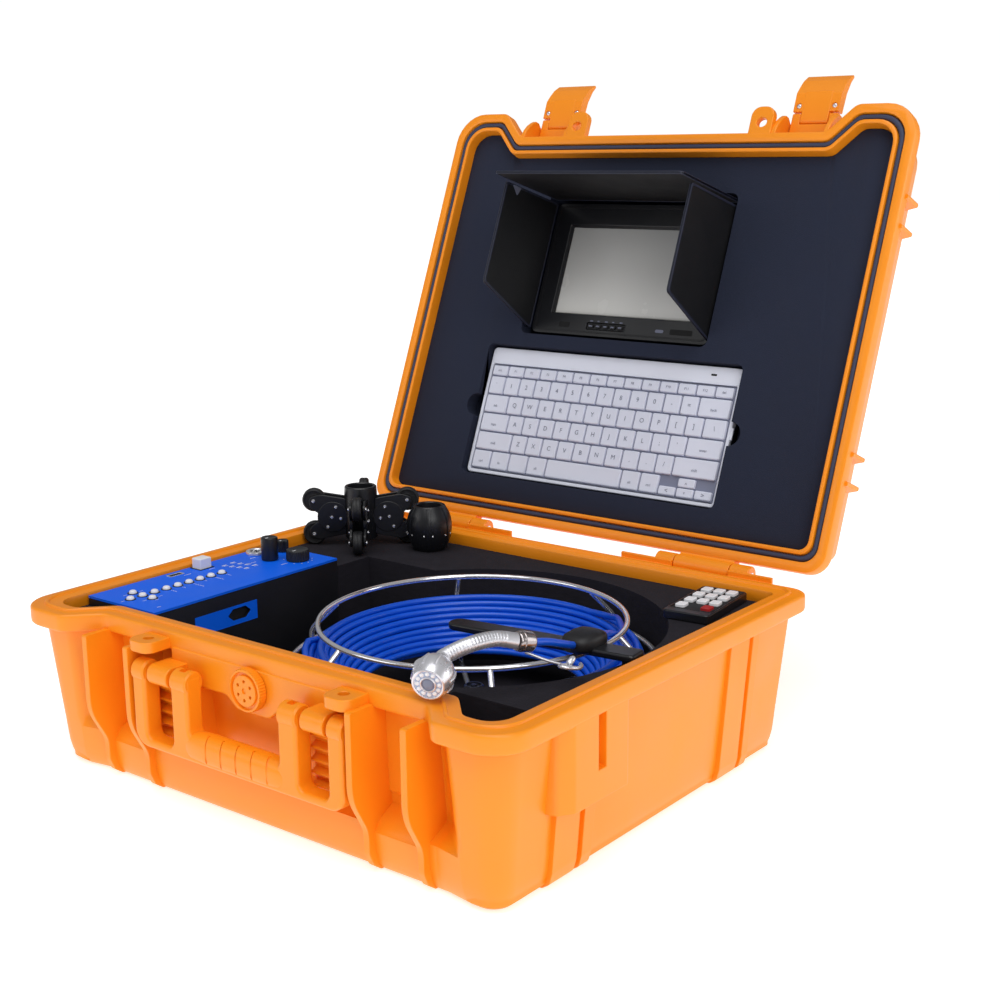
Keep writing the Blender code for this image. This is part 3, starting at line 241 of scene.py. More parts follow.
def rounded(points, radii, steps=5):
    """A polygon with each corner replaced by an arc of the given radius."""
    outline = []
    count = len(points)
    for index, corner in enumerate(points):
        here = Vector(corner)
        before = (Vector(points[index - 1]) - here).normalized()
        after = (Vector(points[(index + 1) % count]) - here).normalized()
        radius = radii[index] if isinstance(radii, (list, tuple)) else radii
        half = before.angle(after) / 2
        reach = radius / math.tan(half)
        centre = here + (before + after).normalized() * (radius / math.sin(half))
        start = here + before * reach - centre
        finish = here + after * reach - centre
        sweep = math.atan2(start.x * finish.y - start.y * finish.x, start.dot(finish))
        for step in range(steps + 1):
            angle = sweep * step / steps
            turned = Vector((start.x * math.cos(angle) - start.y * math.sin(angle),
                             start.x * math.sin(angle) + start.y * math.cos(angle)))
            outline.append(tuple(centre + turned))
    return outline


def rectangle(x0, x1, y0, y1, radius, steps=5):
    return rounded([(x0, y0), (x1, y0), (x1, y1), (x0, y1)], radius, steps)


def lift(axis, pair, level):
    first, second = pair
    return {"X": (level, first, second), "Y": (first, level, second), "Z": (first, second, level)}[axis]


def add_loft(shape, rings, ring_closed=False):
    """Join rings of equally many points; a closed loop of rings is a tube with an open bore."""
    rows = [[shape.verts.new(point) for point in ring] for ring in rings]
    count = len(rows[0])
    pairs = list(zip(rows, rows[1:]))
    if ring_closed:
        pairs.append((rows[-1], rows[0]))
    for lower, upper in pairs:
        for index in range(count):
            after = (index + 1) % count
            shape.faces.new((lower[index], lower[after], upper[after], upper[index]))
    if not ring_closed:
        shape.faces.new(rows[0])
        shape.faces.new(rows[-1])
    return shape


def add_prism(shape, outline, axis, low, high):
    return add_loft(shape, [[lift(axis, pair, level) for pair in outline] for level in (low, high)])


def add_bars(shape, outline, *spans):
    """The outline, drawn in Y and Z, run along X over each span."""
    for x0, x1 in spans:
        add_prism(shape, outline, "X", x0, x1)
    return shape


def evenly(count, start=0.0):
    return [start + math.tau * index / count for index in range(count)]


def circle(x, y, radius, count=32):
    return [(x + radius * math.cos(turn), y + radius * math.sin(turn)) for turn in evenly(count)]


def squircle(wide, tall, power, count=28):
    """A closed curve between an ellipse (power 1) and its box (power 0)."""
    def pulled(value):
        return math.copysign(abs(value) ** power, value)
    return [(wide * pulled(math.cos(turn)), tall * pulled(math.sin(turn))) for turn in evenly(count)]


def arc(x, y, radius, start, end, steps):
    angles = [math.radians(start + (end - start) * step / steps) for step in range(steps + 1)]
    return [(x + radius * math.cos(angle), y + radius * math.sin(angle)) for angle in angles]


def add_turned(shape, profile, matrix=None, steps=40):
    """Spin (radius, height) pairs round Z: from the axis to the axis, or a closed loop round a bore."""
    matrix = matrix or Matrix()
    rows = []
    for radius, height in profile:
        if radius == 0:
            rows.append([shape.verts.new(matrix @ Vector((0, 0, height)))])
        else:
            rows.append([shape.verts.new(matrix @ Vector((x, y, height))) for x, y in circle(0, 0, radius, steps)])
    pairs = list(zip(rows, rows[1:]))
    if profile[0][0] > 0:
        pairs.append((rows[-1], rows[0]))
    for upper, lower in pairs:
        for index in range(steps):
            after = (index + 1) % steps
            loop = [upper[index % len(upper)], upper[after % len(upper)], lower[after % len(lower)],
                    lower[index % len(lower)]]
            loop = list(dict.fromkeys(loop))
            if len(loop) > 2:
                shape.faces.new(loop)
    return shape


def add_rod(shape, start, end, radius, count=24):
    """A straight round bar from start to end."""
    start, end = Vector(start), Vector(end)
    along = end - start
    matrix = Matrix.Translation(start) @ along.to_track_quat("Z", "Y").to_matrix().to_4x4()
    return add_turned(shape, [(0, 0), (radius, 0), (radius, along.length), (0, along.length)], matrix, count)


def add_tube(shape, points, radius, count=14, closed=False):
    """A round tube along points, without a twist. The radius may be one number or one for each point."""
    points = [Vector(point) for point in points]
    radii = radius if isinstance(radius, (list, tuple)) else [radius] * len(points)
    total = len(points)
    tangents = []
    for index in range(total):
        ahead = points[(index + 1) % total] if closed else points[min(index + 1, total - 1)]
        behind = points[index - 1] if closed or index else points[0]
        tangents.append((ahead - behind).normalized())
    side = tangents[0].orthogonal().normalized()
    rings = []
    for point, tangent, size in zip(points, tangents, radii):
        side = (side - tangent * side.dot(tangent)).normalized()
        other = tangent.cross(side)
        rings.append([point + (side * x + other * y) for x, y in circle(0, 0, size, count)])
    if closed:
        drift = rings[0][0] - points[0]
        best = min(range(count), key=lambda turn: (rings[-1][turn] - points[-1] - drift).length)
        shift = [round(best * index / (total - 1)) for index in range(total)]
        rings = [ring[turn:] + ring[:turn] for ring, turn in zip(rings, shift)]
    return add_loft(shape, rings, ring_closed=closed)


def smooth_route(points, parts=8):
    """Points along a smooth curve through the given points."""
    knots = [Vector(point) for point in points]
    padded = [2 * knots[0] - knots[1]] + knots + [2 * knots[-1] - knots[-2]]
    fine = []
    for a, b, c, d in zip(padded, padded[1:], padded[2:], padded[3:]):
        for step in range(parts):
            t = step / parts
            fine.append(0.5 * (2 * b + (c - a) * t + (2 * a - 5 * b + 4 * c - d) * t * t
                               + (3 * b - a - 3 * c + d) * t ** 3))
    return fine + [knots[-1]]


def to_object(name, shape, outward=True):
    if outward:
        bmesh.ops.recalc_face_normals(shape, faces=shape.faces)
    mesh = bpy.data.meshes.new(name)
    shape.to_mesh(mesh)
    shape.free()
    thing = bpy.data.objects.new(name, mesh)
    bpy.context.scene.collection.objects.link(thing)
    return thing


def carved(shape, cutter):
    """The shape with the cutter's space taken out of it."""
    target, tool = to_object("draft", shape), to_object("cutter", cutter)
    step = target.modifiers.new("Cut", "BOOLEAN")
    step.operation = "DIFFERENCE"
    step.solver = "EXACT"
    step.use_self = True
    step.object = tool
    bpy.context.view_layer.update()
    mesh = bpy.data.meshes.new_from_object(target.evaluated_get(bpy.context.evaluated_depsgraph_get()))
    result = new()
    result.from_mesh(mesh)
    for thing in (target, tool):
        bpy.data.objects.remove(thing, do_unlink=True)
    bpy.data.meshes.remove(mesh)
    bmesh.ops.remove_doubles(result, verts=result.verts, dist=0.01)
    bmesh.ops.dissolve_limit(result, angle_limit=0.01, verts=result.verts, edges=result.edges)
    return result


def turned_by(shape, matrix):
    bmesh.ops.transform(shape, matrix=matrix, verts=shape.verts)
    return shape


def piece(name, shape, look, body, stands_for=(), round_off=0.0, segments=3, limit=35.0, sharp=35.0,
          outward=True):
    """Turn a shape drawn in millimetres, with the lid closed, into a named piece that rides on a body."""
    if body.startswith(IN_LID):
        turned_by(shape, LID)
    bmesh.ops.scale(shape, vec=(MM, MM, MM), verts=shape.verts)
    thing = to_object(name, shape, outward)
    thing.data.materials.append(look)
    thing.data.shade_smooth()
    if round_off:
        soften = thing.modifiers.new("Round", "BEVEL")
        soften.width = round_off * MM
        soften.segments = segments
        soften.limit_method = "ANGLE"
        soften.angle_limit = math.radians(limit)
        soften.harden_normals = True
    else:
        thing.data.set_sharp_from_angle(angle=math.radians(sharp))
    return settled(thing, body, stands_for)


def settled(thing, body, stands_for):
    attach(thing, body)
    if stands_for:
        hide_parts(*stands_for)
    return thing


def lathe(name, profile, look, body, stands_for=(), place=None, steps=40, sharp=35.0):
    """A piece that is one turned profile."""
    return piece(name, add_turned(new(), profile, place, steps), look, body, stands_for, sharp=sharp)


def keep(node, look):
    """A CAD node whose shape is right, with its finish."""
    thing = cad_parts[node]
    thing.data.materials.clear()
    thing.data.materials.append(look)


def curve_piece(name, points, radius, look, body, stands_for=(), resolution=4):
    """A round cord along points in millimetres, as a curve with one open spline."""
    data = bpy.data.curves.new(name, "CURVE")
    data.dimensions = "3D"
    data.bevel_depth = radius * MM
    data.bevel_resolution = resolution
    data.use_fill_caps = True
    line = data.splines.new("POLY")
    line.points.add(len(points) - 1)
    for spot, point in zip(line.points, points):
        spot.co = (*(Vector(point) * MM), 1.0)
    line.use_smooth = True
    data.materials.append(look)
    thing = bpy.data.objects.new(name, data)
    bpy.context.scene.collection.objects.link(thing)
    return settled(thing, body, stands_for)


def length_of(points):
    return sum((second - first).length for first, second in zip(points, points[1:])) * MM


# ---------------------------------------------------------------- the cable
COLLAR_END = Vector((188.2, -92.0, 157.6))
COLLAR_START = Vector((185.0, -107.5, 161.8))
LEAVING = 74.0
LEAD_ROUTE = [on_reel(LEAVING, 122.2, 109.1), on_reel(62, 122.6, 112.0), on_reel(52, 120.5, 116.3),
              on_reel(36, 118.0, 116.9), on_reel(24, 115.5, 121.0), on_reel(14, 115.0, 128.5),
              on_reel(4, 118.5, 133.8), on_reel(-6, 122.5, 135.5), on_reel(-15, 128.0, 138.0),
              Vector((186.5, -52, 145.2)), Vector((188.0, -74, 153.0)), COLLAR_END]


def coil_route():
    """The wound cable: five layers of rows on the cone inside the cage, the innermost row on top."""
    along, outward = Vector((-0.662, -0.749)), Vector((0.749, -0.662))
    layers = [(22.6, 0.6, 4.1), (17.7, 0.0, 6.0), (12.7, -0.8, 6.9), (7.75, 0.2, 8.4), (2.8, 0.0, 9.2)]
    rows = []
    down = False
    for depth, first, last in layers:
        turns = last - first
        count = round(turns * TURN_STEPS)
        for step in range(count):
            share = step / count
            row = last + (first - last) * share if not down else first + (last - first) * share
            rows.append((depth, row))
        down = not down
    points = []
    for index, (depth, row) in enumerate(rows):
        angle = math.radians(LEAVING) + math.tau * (len(rows) - 1 - index) / TURN_STEPS
        sway = 0.22 * math.sin(3 * angle + row) + 0.16 * math.sin(7.3 * row + 1.3 * angle)
        sunk = depth + 0.18 * math.sin(2 * angle + 4.1 * row)
        spot = Vector((RING_RADIUS, 113.0)) + along * (2.9 + ROW_PITCH * row + sway) + outward * sunk
        points.append(Vector((REEL_X + spot.x * math.cos(angle), REEL_Y + spot.x * math.sin(angle), spot.y)))
    return points


def cables():
    route = coil_route()
    coil = curve_piece("wound_cable", route, CABLE / 2, CABLE_BLUE, "reel", ["cable_coil"], 3)
    round(length_of(route), 1)
    route = smooth_route(LEAD_ROUTE, 6)
    lead = curve_piece("free_cable", route, CABLE / 2, CABLE_BLUE, "case", ["cable_lead"], 4)

    along = (COLLAR_START - COLLAR_END).normalized()
    long = (COLLAR_START - COLLAR_END).length
    facing = Matrix.Translation(COLLAR_END + along * 1.0) @ along.to_track_quat("Z", "Y").to_matrix().to_4x4()
    profile = [(0, long - 2.0), (6.0, long - 2.0), (6.6, long - 2.6), (6.8, long - 3.4), (6.9, long - 5.4),
               (7.4, long - 5.8), (7.4, 2.4), (7.2, 1.4), (6.4, 0.4), (3.4, 0.0), (0, 0.0)]
    collar = lathe("neck_sleeve", profile, DARK_CHROME, "case", ["head_collar"], facing, 48)
    round(length_of(route), 3)


make_camera()
cables()


# ---------------------------------------------------------------- the case
def case_outline(inset, middle=MIDDLE_FRONT, steps=7):
    """The plan of rim and flange: square corners at the back, two ears at the front corners."""
    slant = 0.364 * inset
    right = [(HALF_WIDTH - inset, BACK - inset), (HALF_WIDTH - inset, EAR_FRONT + inset),
             (EAR_INNER + slant, EAR_FRONT + inset), (STEP_INNER + slant, middle + inset)]
    radii = [max(18.0 - inset * 0.5, 5.0), max(30.0 - inset * 0.6, 8.0), 12.0, 12.0]
    left = [(-x, y) for x, y in reversed(right)]
    return rounded(right + left, radii + radii[::-1], steps)


def levels(*rows):
    """Rings of the plan outline, each an inset, a height and, where it differs, where the middle front is."""
    return [[(x, y, row[1]) for x, y in case_outline(row[0], *row[2:])] for row in rows]


def base_case():
    low = -201.0
    walls = add_loft(new(), levels((30, 0, low), (27.6, 0.8, low), (25.0, 3.0, low), (22.9, 6.6, low),
                                   (21.2, 11.5, low), (19.9, 18.0, low), (19.0, 27.0, low), (18.3, 36.0, -200.0),
                                   (17.6, 43.0, -185.0), (17.3, 46.0), (10.5, 120.0), (10.4, 124.0), (22.5, 124.0),
                                   (22.5, 5.0)))
    seats = new()
    recess = rounded([(-230, 240), (-163.5, 240), (-163.5, 56), (-184, 27), (-230, 27)], [1, 1, 26, 14, 1], 6)
    add_bars(seats, recess, *sides(118.5, 163.5))
    piece("case_walls", carved(walls, seats), ORANGE, "case", ["base_shell"], round_off=1.0, limit=42.0)

    rim = add_loft(new(), levels((22.2, 120.4), (3.0, 120.4), (1.2, 120.8), (0.3, 121.8), (0, 123.2), (0, 132.6),
                                 (0.4, 134.0), (1.6, 134.9), (3.2, 135.0), (8.6, 135.0), (9.6, 135.3),
                                 (10.0, 136.4), (10.7, 137.0), (12.0, 137.0), (12.7, 136.4), (13.1, 135.3),
                                 (14.0, 135.0), (21.0, 135.0), (22.1, 134.6), (22.5, 133.4), (22.5, 121.0)),
                   ring_closed=True)
    piece("case_rim", rim, ORANGE, "case", sharp=40.0)

    fins = new()
    sweep = rounded([(-202.5, 123), (-202.5, 60), (-187.6, 33), (-187.6, 16), (-183.0, 6), (-175.5, 0.6),
                     (-160, 0.6), (-160, 123)], [1.5, 42, 24, 12, 6, 4, 0.5, 2], 7)
    add_bars(fins, sweep, *sides(113.5, 118.9), *sides(163.1, 168.5))
    piece("latch_guards", fins, ORANGE, "case", round_off=1.5)

    pads = new()
    add_bars(pads, rounded([(-160, 123), (-167.5, 123), (-165.4, 56), (-160, 50)], [0.6, 1.5, 1.5, 0.6], 3),
             *sides(118.2, 163.8))
    piece("latch_seat_pads", pads, ORANGE, "case", round_off=0.8)

    ledges, holes = new(), new()
    for x0, x1 in sides(90, 115):
        plan = rounded([(x0, -168), (x0, -202), (x1, -202), (x1, -168)], [1, 8, 8, 1], 5)
        add_prism(ledges, plan, "Z", 121.5, 130.3)
    for side in (-1, 1):
        add_rod(holes, (side * 102, -190, 110), (side * 102, -190, 140), 4.0, 28)
    piece("padlock_ledges", carved(ledges, holes), ORANGE, "case", round_off=0.9)

    edge = rounded([(-88, 124), (88, 124), (88, 98), (28, 98), (17, 89), (-17, 89), (-28, 98), (-88, 98)],
                   [2, 2, 4, 8, 9, 9, 8, 4], steps=6)
    plate = add_prism(new(), edge, "Y", -181, -164)
    piece("valve_plate", plate, ORANGE, "case", round_off=1.4)

    louvres = new()
    for x0, x1 in sides(60, 111):
        add_box(louvres, x0, x1, -178.5, -160, 46, 99.5)
        for step in range(5):
            z = 49.0 + step * 9.6
            slat = rounded([(-177.5, z), (-184.0, z + 1.6), (-184.0, z + 3.6), (-177.5, z + 6.8), (-172, z + 6.8),
                            (-172, z)], [0.6, 1.2, 1.6, 1.0, 0.5, 0.5], 4)
            add_prism(louvres, slat, "X", x0 + 1.2, x1 - 1.2)
    piece("grip_louvres", louvres, ORANGE, "case", round_off=0.5)

    lug = rounded([(-202.5, 114), (-202.5, 98), (-176, 98), (-176, 114)], [7.4, 7.4, 1, 1], steps=8)
    piece("handle_lugs", add_bars(new(), lug, *sides(70, 92)), ORANGE, "case", round_off=1.0)
    pins = new()
    for side in (-1, 1):
        add_rod(pins, (side * 110.6, -194.5, 106), (side * 108, -194.5, 106), 2.5, 20)
    piece("handle_pin_ends", pins, STEEL, "case", ["handle_pin_left", "handle_pin_right"], round_off=0.3)

    brackets, slots = new(), new()
    for side in (-1, 1):
        plan = rounded([(side * 228, -142), (side * 243, -139), (side * 250.3, -128), (side * 250.3, -66),
                        (side * 247.5, -62), (side * 228, -62)], [1, 6, 5, 4, 2, 1], 5)
        add_prism(brackets, plan, "Z", 60, 131.5)
        add_box(slots, min(side * 243, side * 256), max(side * 243, side * 256), -101, -92, 82, 130.0)
    piece("strap_brackets", carved(brackets, slots), ORANGE, "case", round_off=1.6)

    bands = new()
    for side in (-1, 1):
        for y0, y1, high in ((-132, -104, 62), (-98, -86, 62), (88, 116, 122), (122, 132, 122)):
            lean = 233.8 + 9.0 * (high - 5) / 116
            foot = [(side * 218, 0.8), (side * 225.0, 0.8), (side * 231.4, 5.0), (side * 234.0, 14.0),
                    (side * lean, high), (side * 228, high)]
            add_prism(bands, rounded(foot, [0.5, 3.0, 6.0, 10.0, 0.8, 0.8], 5), "Y", y0, y1)
    piece("wall_bands", bands, ORANGE, "case", round_off=1.4)

    foot = [(200, 121.5), (208.5, 121.5), (208.5, 139), (205.6, 139), (205.6, 134), (200, 134)]
    arm = [(206, 124), (215, 126.9)] + arc(HINGE_Y, HINGE_Z, 8.0, -70, 180, 22)
    blocks = add_bars(new(), foot, *sides(62, 114.3), *sides(169.7, 212))
    add_bars(blocks, arm, *sides(96, 114.3), *sides(169.7, 188))
    piece("hinge_blocks", blocks, ORANGE, "case", round_off=0.9)
    pins = new()
    for x0, x1 in sides(95.4, 188.6):
        add_rod(pins, (x0, HINGE_Y, HINGE_Z), (x1, HINGE_Y, HINGE_Z), 2.9, 24)
    piece("hinge_rods", pins, STEEL, "case", ["hinge_pin_left", "hinge_pin_right"], round_off=0.4)


def handle_and_valve():
    outer = rounded([(-110, 112), (-110, 47), (110, 47), (110, 112)], [6, 14, 14, 6], steps=8)
    body = add_prism(new(), outer, "Y", -202.4, -186.2)
    gaps = new()
    finger = rounded([(-47.5, 130), (-47.5, 64), (47.5, 64), (47.5, 130)], [3, 9, 9, 3], steps=6)
    add_prism(gaps, finger, "Y", -215, -170)
    for x0, x1 in sides(66, 95.5):
        slot = rounded([(x0, 130), (x0, 54), (x1, 54), (x1, 130)], [3, 6, 6, 3], steps=6)
        add_prism(gaps, slot, "Y", -215, -170)
    body = carved(body, gaps)
    piece("carry_handle_body", body, ORANGE, "handle", ["carry_handle"], round_off=3.2, segments=4)

    grip = []
    for x, tall, deep in ((-54, 5, 5.5), (-52, 9.0, 8.0), (-46, 11.0, 9.6), (-30, 11.6, 10.1), (0, 11.7, 10.2),
                          (30, 11.6, 10.1), (46, 11.0, 9.6), (52, 9.0, 8.0), (54, 5, 5.5)):
        grip.append([(x, y - 194.2, z + 58.4) for y, z in squircle(deep, tall, 0.8)])
    creases = new()
    for step in range(-2, 3):
        route = [(step * 16.0 + 5.0 * math.cos(math.radians(swing)), -194.2 - 10.2 * math.cos(math.radians(swing)),
                  58.4 + 11.6 * math.sin(math.radians(swing))) for swing in range(-40, 81, 12)]
        add_tube(creases, route, 0.9, 10)
    piece("grip_bar", carved(add_loft(new(), grip), creases), ORANGE, "handle", sharp=32.0)

    barrels, dimples = new(), new()
    for x0, x1 in sides(47.8, 65.7) + sides(95.8, 109.7):
        matrix = shift(x0, -194.3, 106.0) @ spun(90, "Y")
        long = x1 - x0
        add_turned(barrels, [(0, 0), (8.0, 0), (9.3, 1.3), (9.3, long - 1.3), (8.0, long), (0, long)], matrix, 36)
    for side in (-1, 1):
        add_box(dimples, side * 56.7 - 3.2, side * 56.7 + 3.2, -197.6, -191.0, 112.2, 120)
    piece("handle_barrels", carved(barrels, dimples), ORANGE, "handle", sharp=32.0)

    matrix = shift(0, -181.4, 109) @ spun(90, "X")
    disc = add_turned(new(), [(0, 0), (16.0, 0), (16.5, 0.6), (16.5, 5.4), (15.8, 6.6), (14.4, 6.9), (14.0, 4.8),
                              (12.0, 4.8), (11.6, 6.8), (10.8, 7.0), (0, 7.0)], matrix, 96)
    for vert in disc.verts:
        x, z = vert.co.x, vert.co.z - 109
        out = math.hypot(x, z)
        if out > 16.3:
            tooth = 0.5 * (1 + math.cos(48 * math.atan2(z, x))) * 0.7
            vert.co.x -= x / out * tooth
            vert.co.z -= z / out * tooth
    dots = new()
    for turn in evenly(6, math.pi / 6):
        x, z = 7.2 * math.cos(turn), 109 + 7.2 * math.sin(turn)
        add_rod(dots, (x, -189.2, z), (x, -186, z), 1.35, 18)
    add_rod(dots, (0, -189.2, 109), (0, -187.4, 109), 2.2, 24)
    piece("relief_valve_disc", carved(disc, dots), ORANGE, "relief_valve", ["relief_valve_knob"], sharp=32.0)


def lid_case():
    shell = add_loft(new(), levels((24, 196), (20.6, 195.2), (18.4, 193.2), (17.2, 190.0), (9.2, 150.6),
                                   (8.4, 149.4), (0.9, 148.6), (0.2, 147.8), (0, 146.4), (0, 137.2), (0.4, 136.1),
                                   (1.5, 135.5), (7.6, 135.5), (8.4, 135.9), (8.7, 137.0), (8.9, 141.0),
                                   (14.4, 141.0), (14.6, 136.6), (14.9, 135.7), (15.7, 135.2), (17.3, 135.2),
                                   (18.1, 135.7), (18.4, 136.8), (18.8, 139.5), (22.4, 192.0)))
    panel = rectangle(-214, 214, -146, 168, 22, 8)
    dish = add_loft(new(), [[(x * grow, y * grow, z) for x, y in panel] for grow, z in ((1.0, 194.6), (1.012, 200))])
    piece("lid_walls", carved(shell, dish), ORANGE, "lid", ["lid_shell"], sharp=38.0)

    ridges = new()
    for y in (-96.0, -32.0, 54.0, 118.0):
        add_prism(ridges, rectangle(-190, 190, y - 9, y + 9, 8.5, 6), "Z", 193.6, 195.9)
    piece("lid_ridges", ridges, ORANGE, "lid", round_off=0.8)

    ring = add_loft(new(), levels((9.4, 140.6), (9.4, 138.6), (9.9, 137.3), (10.9, 136.7), (12.4, 136.7),
                                  (13.4, 137.3), (13.9, 138.6), (13.9, 140.6)), ring_closed=True)
    piece("lid_seal", ring, GASKET, "lid", ["lid_gasket"], sharp=50.0)

    fins = new()
    gusset = [(-163, 146), (-172.8, 143), (-172.8, 137.3), (-182, 137)]
    gusset += [(-188.5, 139.3), (-194, 142.5), (-199, 147.2), (-202, 151), (-202, 156), (-193, 169), (-163, 176)]
    add_bars(fins, gusset, *sides(112.5, 117.5), *sides(164.5, 169.5))
    piece("lid_latch_guards", fins, ORANGE, "lid", round_off=1.2)

    eyes, holes = new(), new()
    for x0, x1 in sides(90, 113):
        eye = rounded([(x0, -172), (x0, -205), (x1, -205), (x1, -172)], [2, 9, 9, 2], steps=7)
        add_prism(eyes, eye, "Z", 136, 143)
    for side in (-1, 1):
        oval = [(side * 102 + x, y - 190) for x, y in squircle(5.0, 4.4, 1.0)]
        add_prism(holes, oval, "Z", 130, 150)
    piece("lid_padlock_eyes", carved(eyes, holes), ORANGE, "lid", round_off=1.1)

    ribs = new()
    for side in (-1, 1):
        for y in (-124.0, -98.0, 100.0, 125.0):
            inner, outer = HALF_WIDTH - 14, HALF_WIDTH + 2.5
            point = rounded([(side * inner, y - 6.5), (side * outer, y - 1.6), (side * outer, y + 1.6),
                             (side * inner, y + 6.5)], [0.5, 1.4, 1.4, 0.5], 4)
            add_prism(ribs, point, "Z", 142.6, 166)
    piece("lid_side_ribs", ribs, ORANGE, "lid", round_off=0.8)

    arm = [(197, 148), (197, 137), (206, 136)] + arc(HINGE_Y, HINGE_Z, 8.0, 180, 440, 24)
    piece("lid_knuckles", add_bars(new(), arm, *sides(115, 169)), ORANGE, "lid", round_off=0.9)


def latches():
    for side, word in ((-1, "left"), (1, "right")):
        x, half = side * LATCH_X, 22.3
        profile = rounded([(-207.2, 165), (-207.2, 158.7), (-184.0, 158.5), (-184.0, 167.6), (-200, 167.6)],
                          [2, 2, 4.3, 4.3, 3], steps=6)
        link = add_prism(new(), profile, "X", x - half, x + half)
        notch = add_box(new(), x - 14, x + 14, -216, -196.7, 150, 180)
        piece(f"latch_bridge_{word}", carved(link, notch), ORANGE, f"latch_link_{word}_body",
              [f"latch_link_{word}"], round_off=0.8)
        ends = new()
        add_rod(ends, (x - 27.8, LATCH_Y, LATCH_Z), (x + 27.8, LATCH_Y, LATCH_Z), 1.8, 18)
        piece(f"latch_bridge_pin_{word}", ends, STEEL, f"latch_link_{word}_body", round_off=0.2)

        tongue = rounded([(-197.4, 159), (-197.4, 166.2), (-211, 167.2), (-228, 167.8), (-228, 158), (-199.5, 158)],
                         [1.5, 2.5, 4, 1, 1, 2], steps=5)
        lever = add_prism(new(), tongue, "X", x - 13.6, x + 13.6)
        wide = rounded([(-208.3, 158.3), (-208.3, 166.8), (-228, 167.8), (-240.5, 171.5), (-247.2, 175.4),
                        (-248.4, 173.0), (-241.0, 166.0), (-234, 162.0), (-226, 158.2)],
                       [1.0, 1.2, 8, 8, 1.1, 1.1, 8, 7, 5], steps=5)
        plate = add_prism(new(), wide, "X", x - half, x + half)
        window = add_box(new(), x - 12.5, x + 12.5, -225.5, -213, 150, 160.6)
        for mark in (-1, 1):
            add_rod(window, (x + mark * 17.6, -213.8, 150), (x + mark * 17.6, -213.8, 159.4), 2.7, 24)
        body = f"latch_lever_{word}_body"
        piece(f"latch_plate_{word}", carved(plate, window), ORANGE, body, [f"latch_lever_{word}"], round_off=0.9)
        piece(f"latch_tongue_{word}", lever, ORANGE, body, round_off=0.8)
        screws, slots = new(), new()
        for mark in (-1, 1):
            matrix = shift(x + mark * 17.6, -213.8, 158.2)
            add_turned(screws, [(0, 0), (1.2, 0.05), (2.0, 0.45), (2.4, 1.0), (2.4, 2.4), (0, 2.4)], matrix, 24)
            add_box(slots, x + mark * 17.6 - 2.6, x + mark * 17.6 + 2.6, -214.15, -213.45, 157, 158.75)
        piece(f"latch_screws_{word}", carved(screws, slots), STEEL, body)


base_case()
handle_and_valve()
lid_case()
latches()


# ---------------------------------------------------------------- contents of the base
def foam_block():
    block = add_loft(new(), levels((23.0, 5.3), (23.0, 123.6), (23.5, 124.6), (24.6, 125.0)))
    gaps = add_prism(new(), circle(REEL_X, REEL_Y, 154.0, 96), "Z", 40, 145)
    block = carved(block, gaps)
    block = carved(block, add_box(new(), -225.6, -141.4, -152.6, 55.6, 60, 145))
    block = carved(block, add_box(new(), -144, REEL_X, -141, 98, 40, 145))
    pocket = rounded([(150, -131), (150, -151), (182, -176), (226, -176), (226, -131)], [2, 6, 6, 14, 2], 5)
    block = carved(block, add_prism(new(), pocket, "Z", 62, 145))
    piece("cut_foam_block", block, FOAM, "case", ["base_foam"], round_off=1.2, segments=2, limit=50)


def button(shape, x, y):
    profile = [(0, 2.8), (1.6, 2.75), (2.6, 2.3), (3.1, 1.5), (3.3, 0.2), (3.5, -0.6), (3.5, -3.6), (0, -3.6)]
    return add_turned(shape, profile, shift(x, y, PANEL_TOP), 28)


def bezel_ring(shape, x, y, inner, outer, tall):
    profile = [(inner, 0.0), (inner, tall), (outer - 0.3, tall), (outer, tall - 0.3), (outer, 0.0)]
    return add_turned(shape, profile, shift(x, y, PANEL_TOP), 32)


def knob(name, x, y, radius, tall, body, node, teeth=0):
    profile = [(0, tall - 0.6), (radius * 0.62, tall - 0.5), (radius * 0.74, tall - 0.1), (radius * 0.8, tall),
               (radius - 0.9, tall), (radius - 0.25, tall - 0.45), (radius, tall - 1.3), (radius, 1.6),
               (radius - 0.2, 0.7), (radius - 0.6, 0.4), (3.3, 0.4), (3.3, -6.0), (0, -6.0)]
    shape = add_turned(new(), profile, shift(x, y, PANEL_TOP), max(48, teeth * 4))
    if teeth:
        for vert in shape.verts:
            dx, dy = vert.co.x - x, vert.co.y - y
            out = math.hypot(dx, dy)
            if out > radius - 0.3 and PANEL_TOP + 1.2 < vert.co.z < PANEL_TOP + tall - 0.3:
                bite = 0.3 * (1 + math.cos(teeth * math.atan2(dy, dx)))
                vert.co.x -= dx / out * bite
                vert.co.y -= dy / out * bite
    piece(name, shape, BLACK, body, [node], sharp=30.0)
    line = add_box(new(), x - 0.45, x + 0.45, y - radius * 0.62, y - radius * 0.2, PANEL_TOP + tall - 0.7,
                   PANEL_TOP + tall - 0.35)
    piece(name + "_mark", line, WHITE, body)


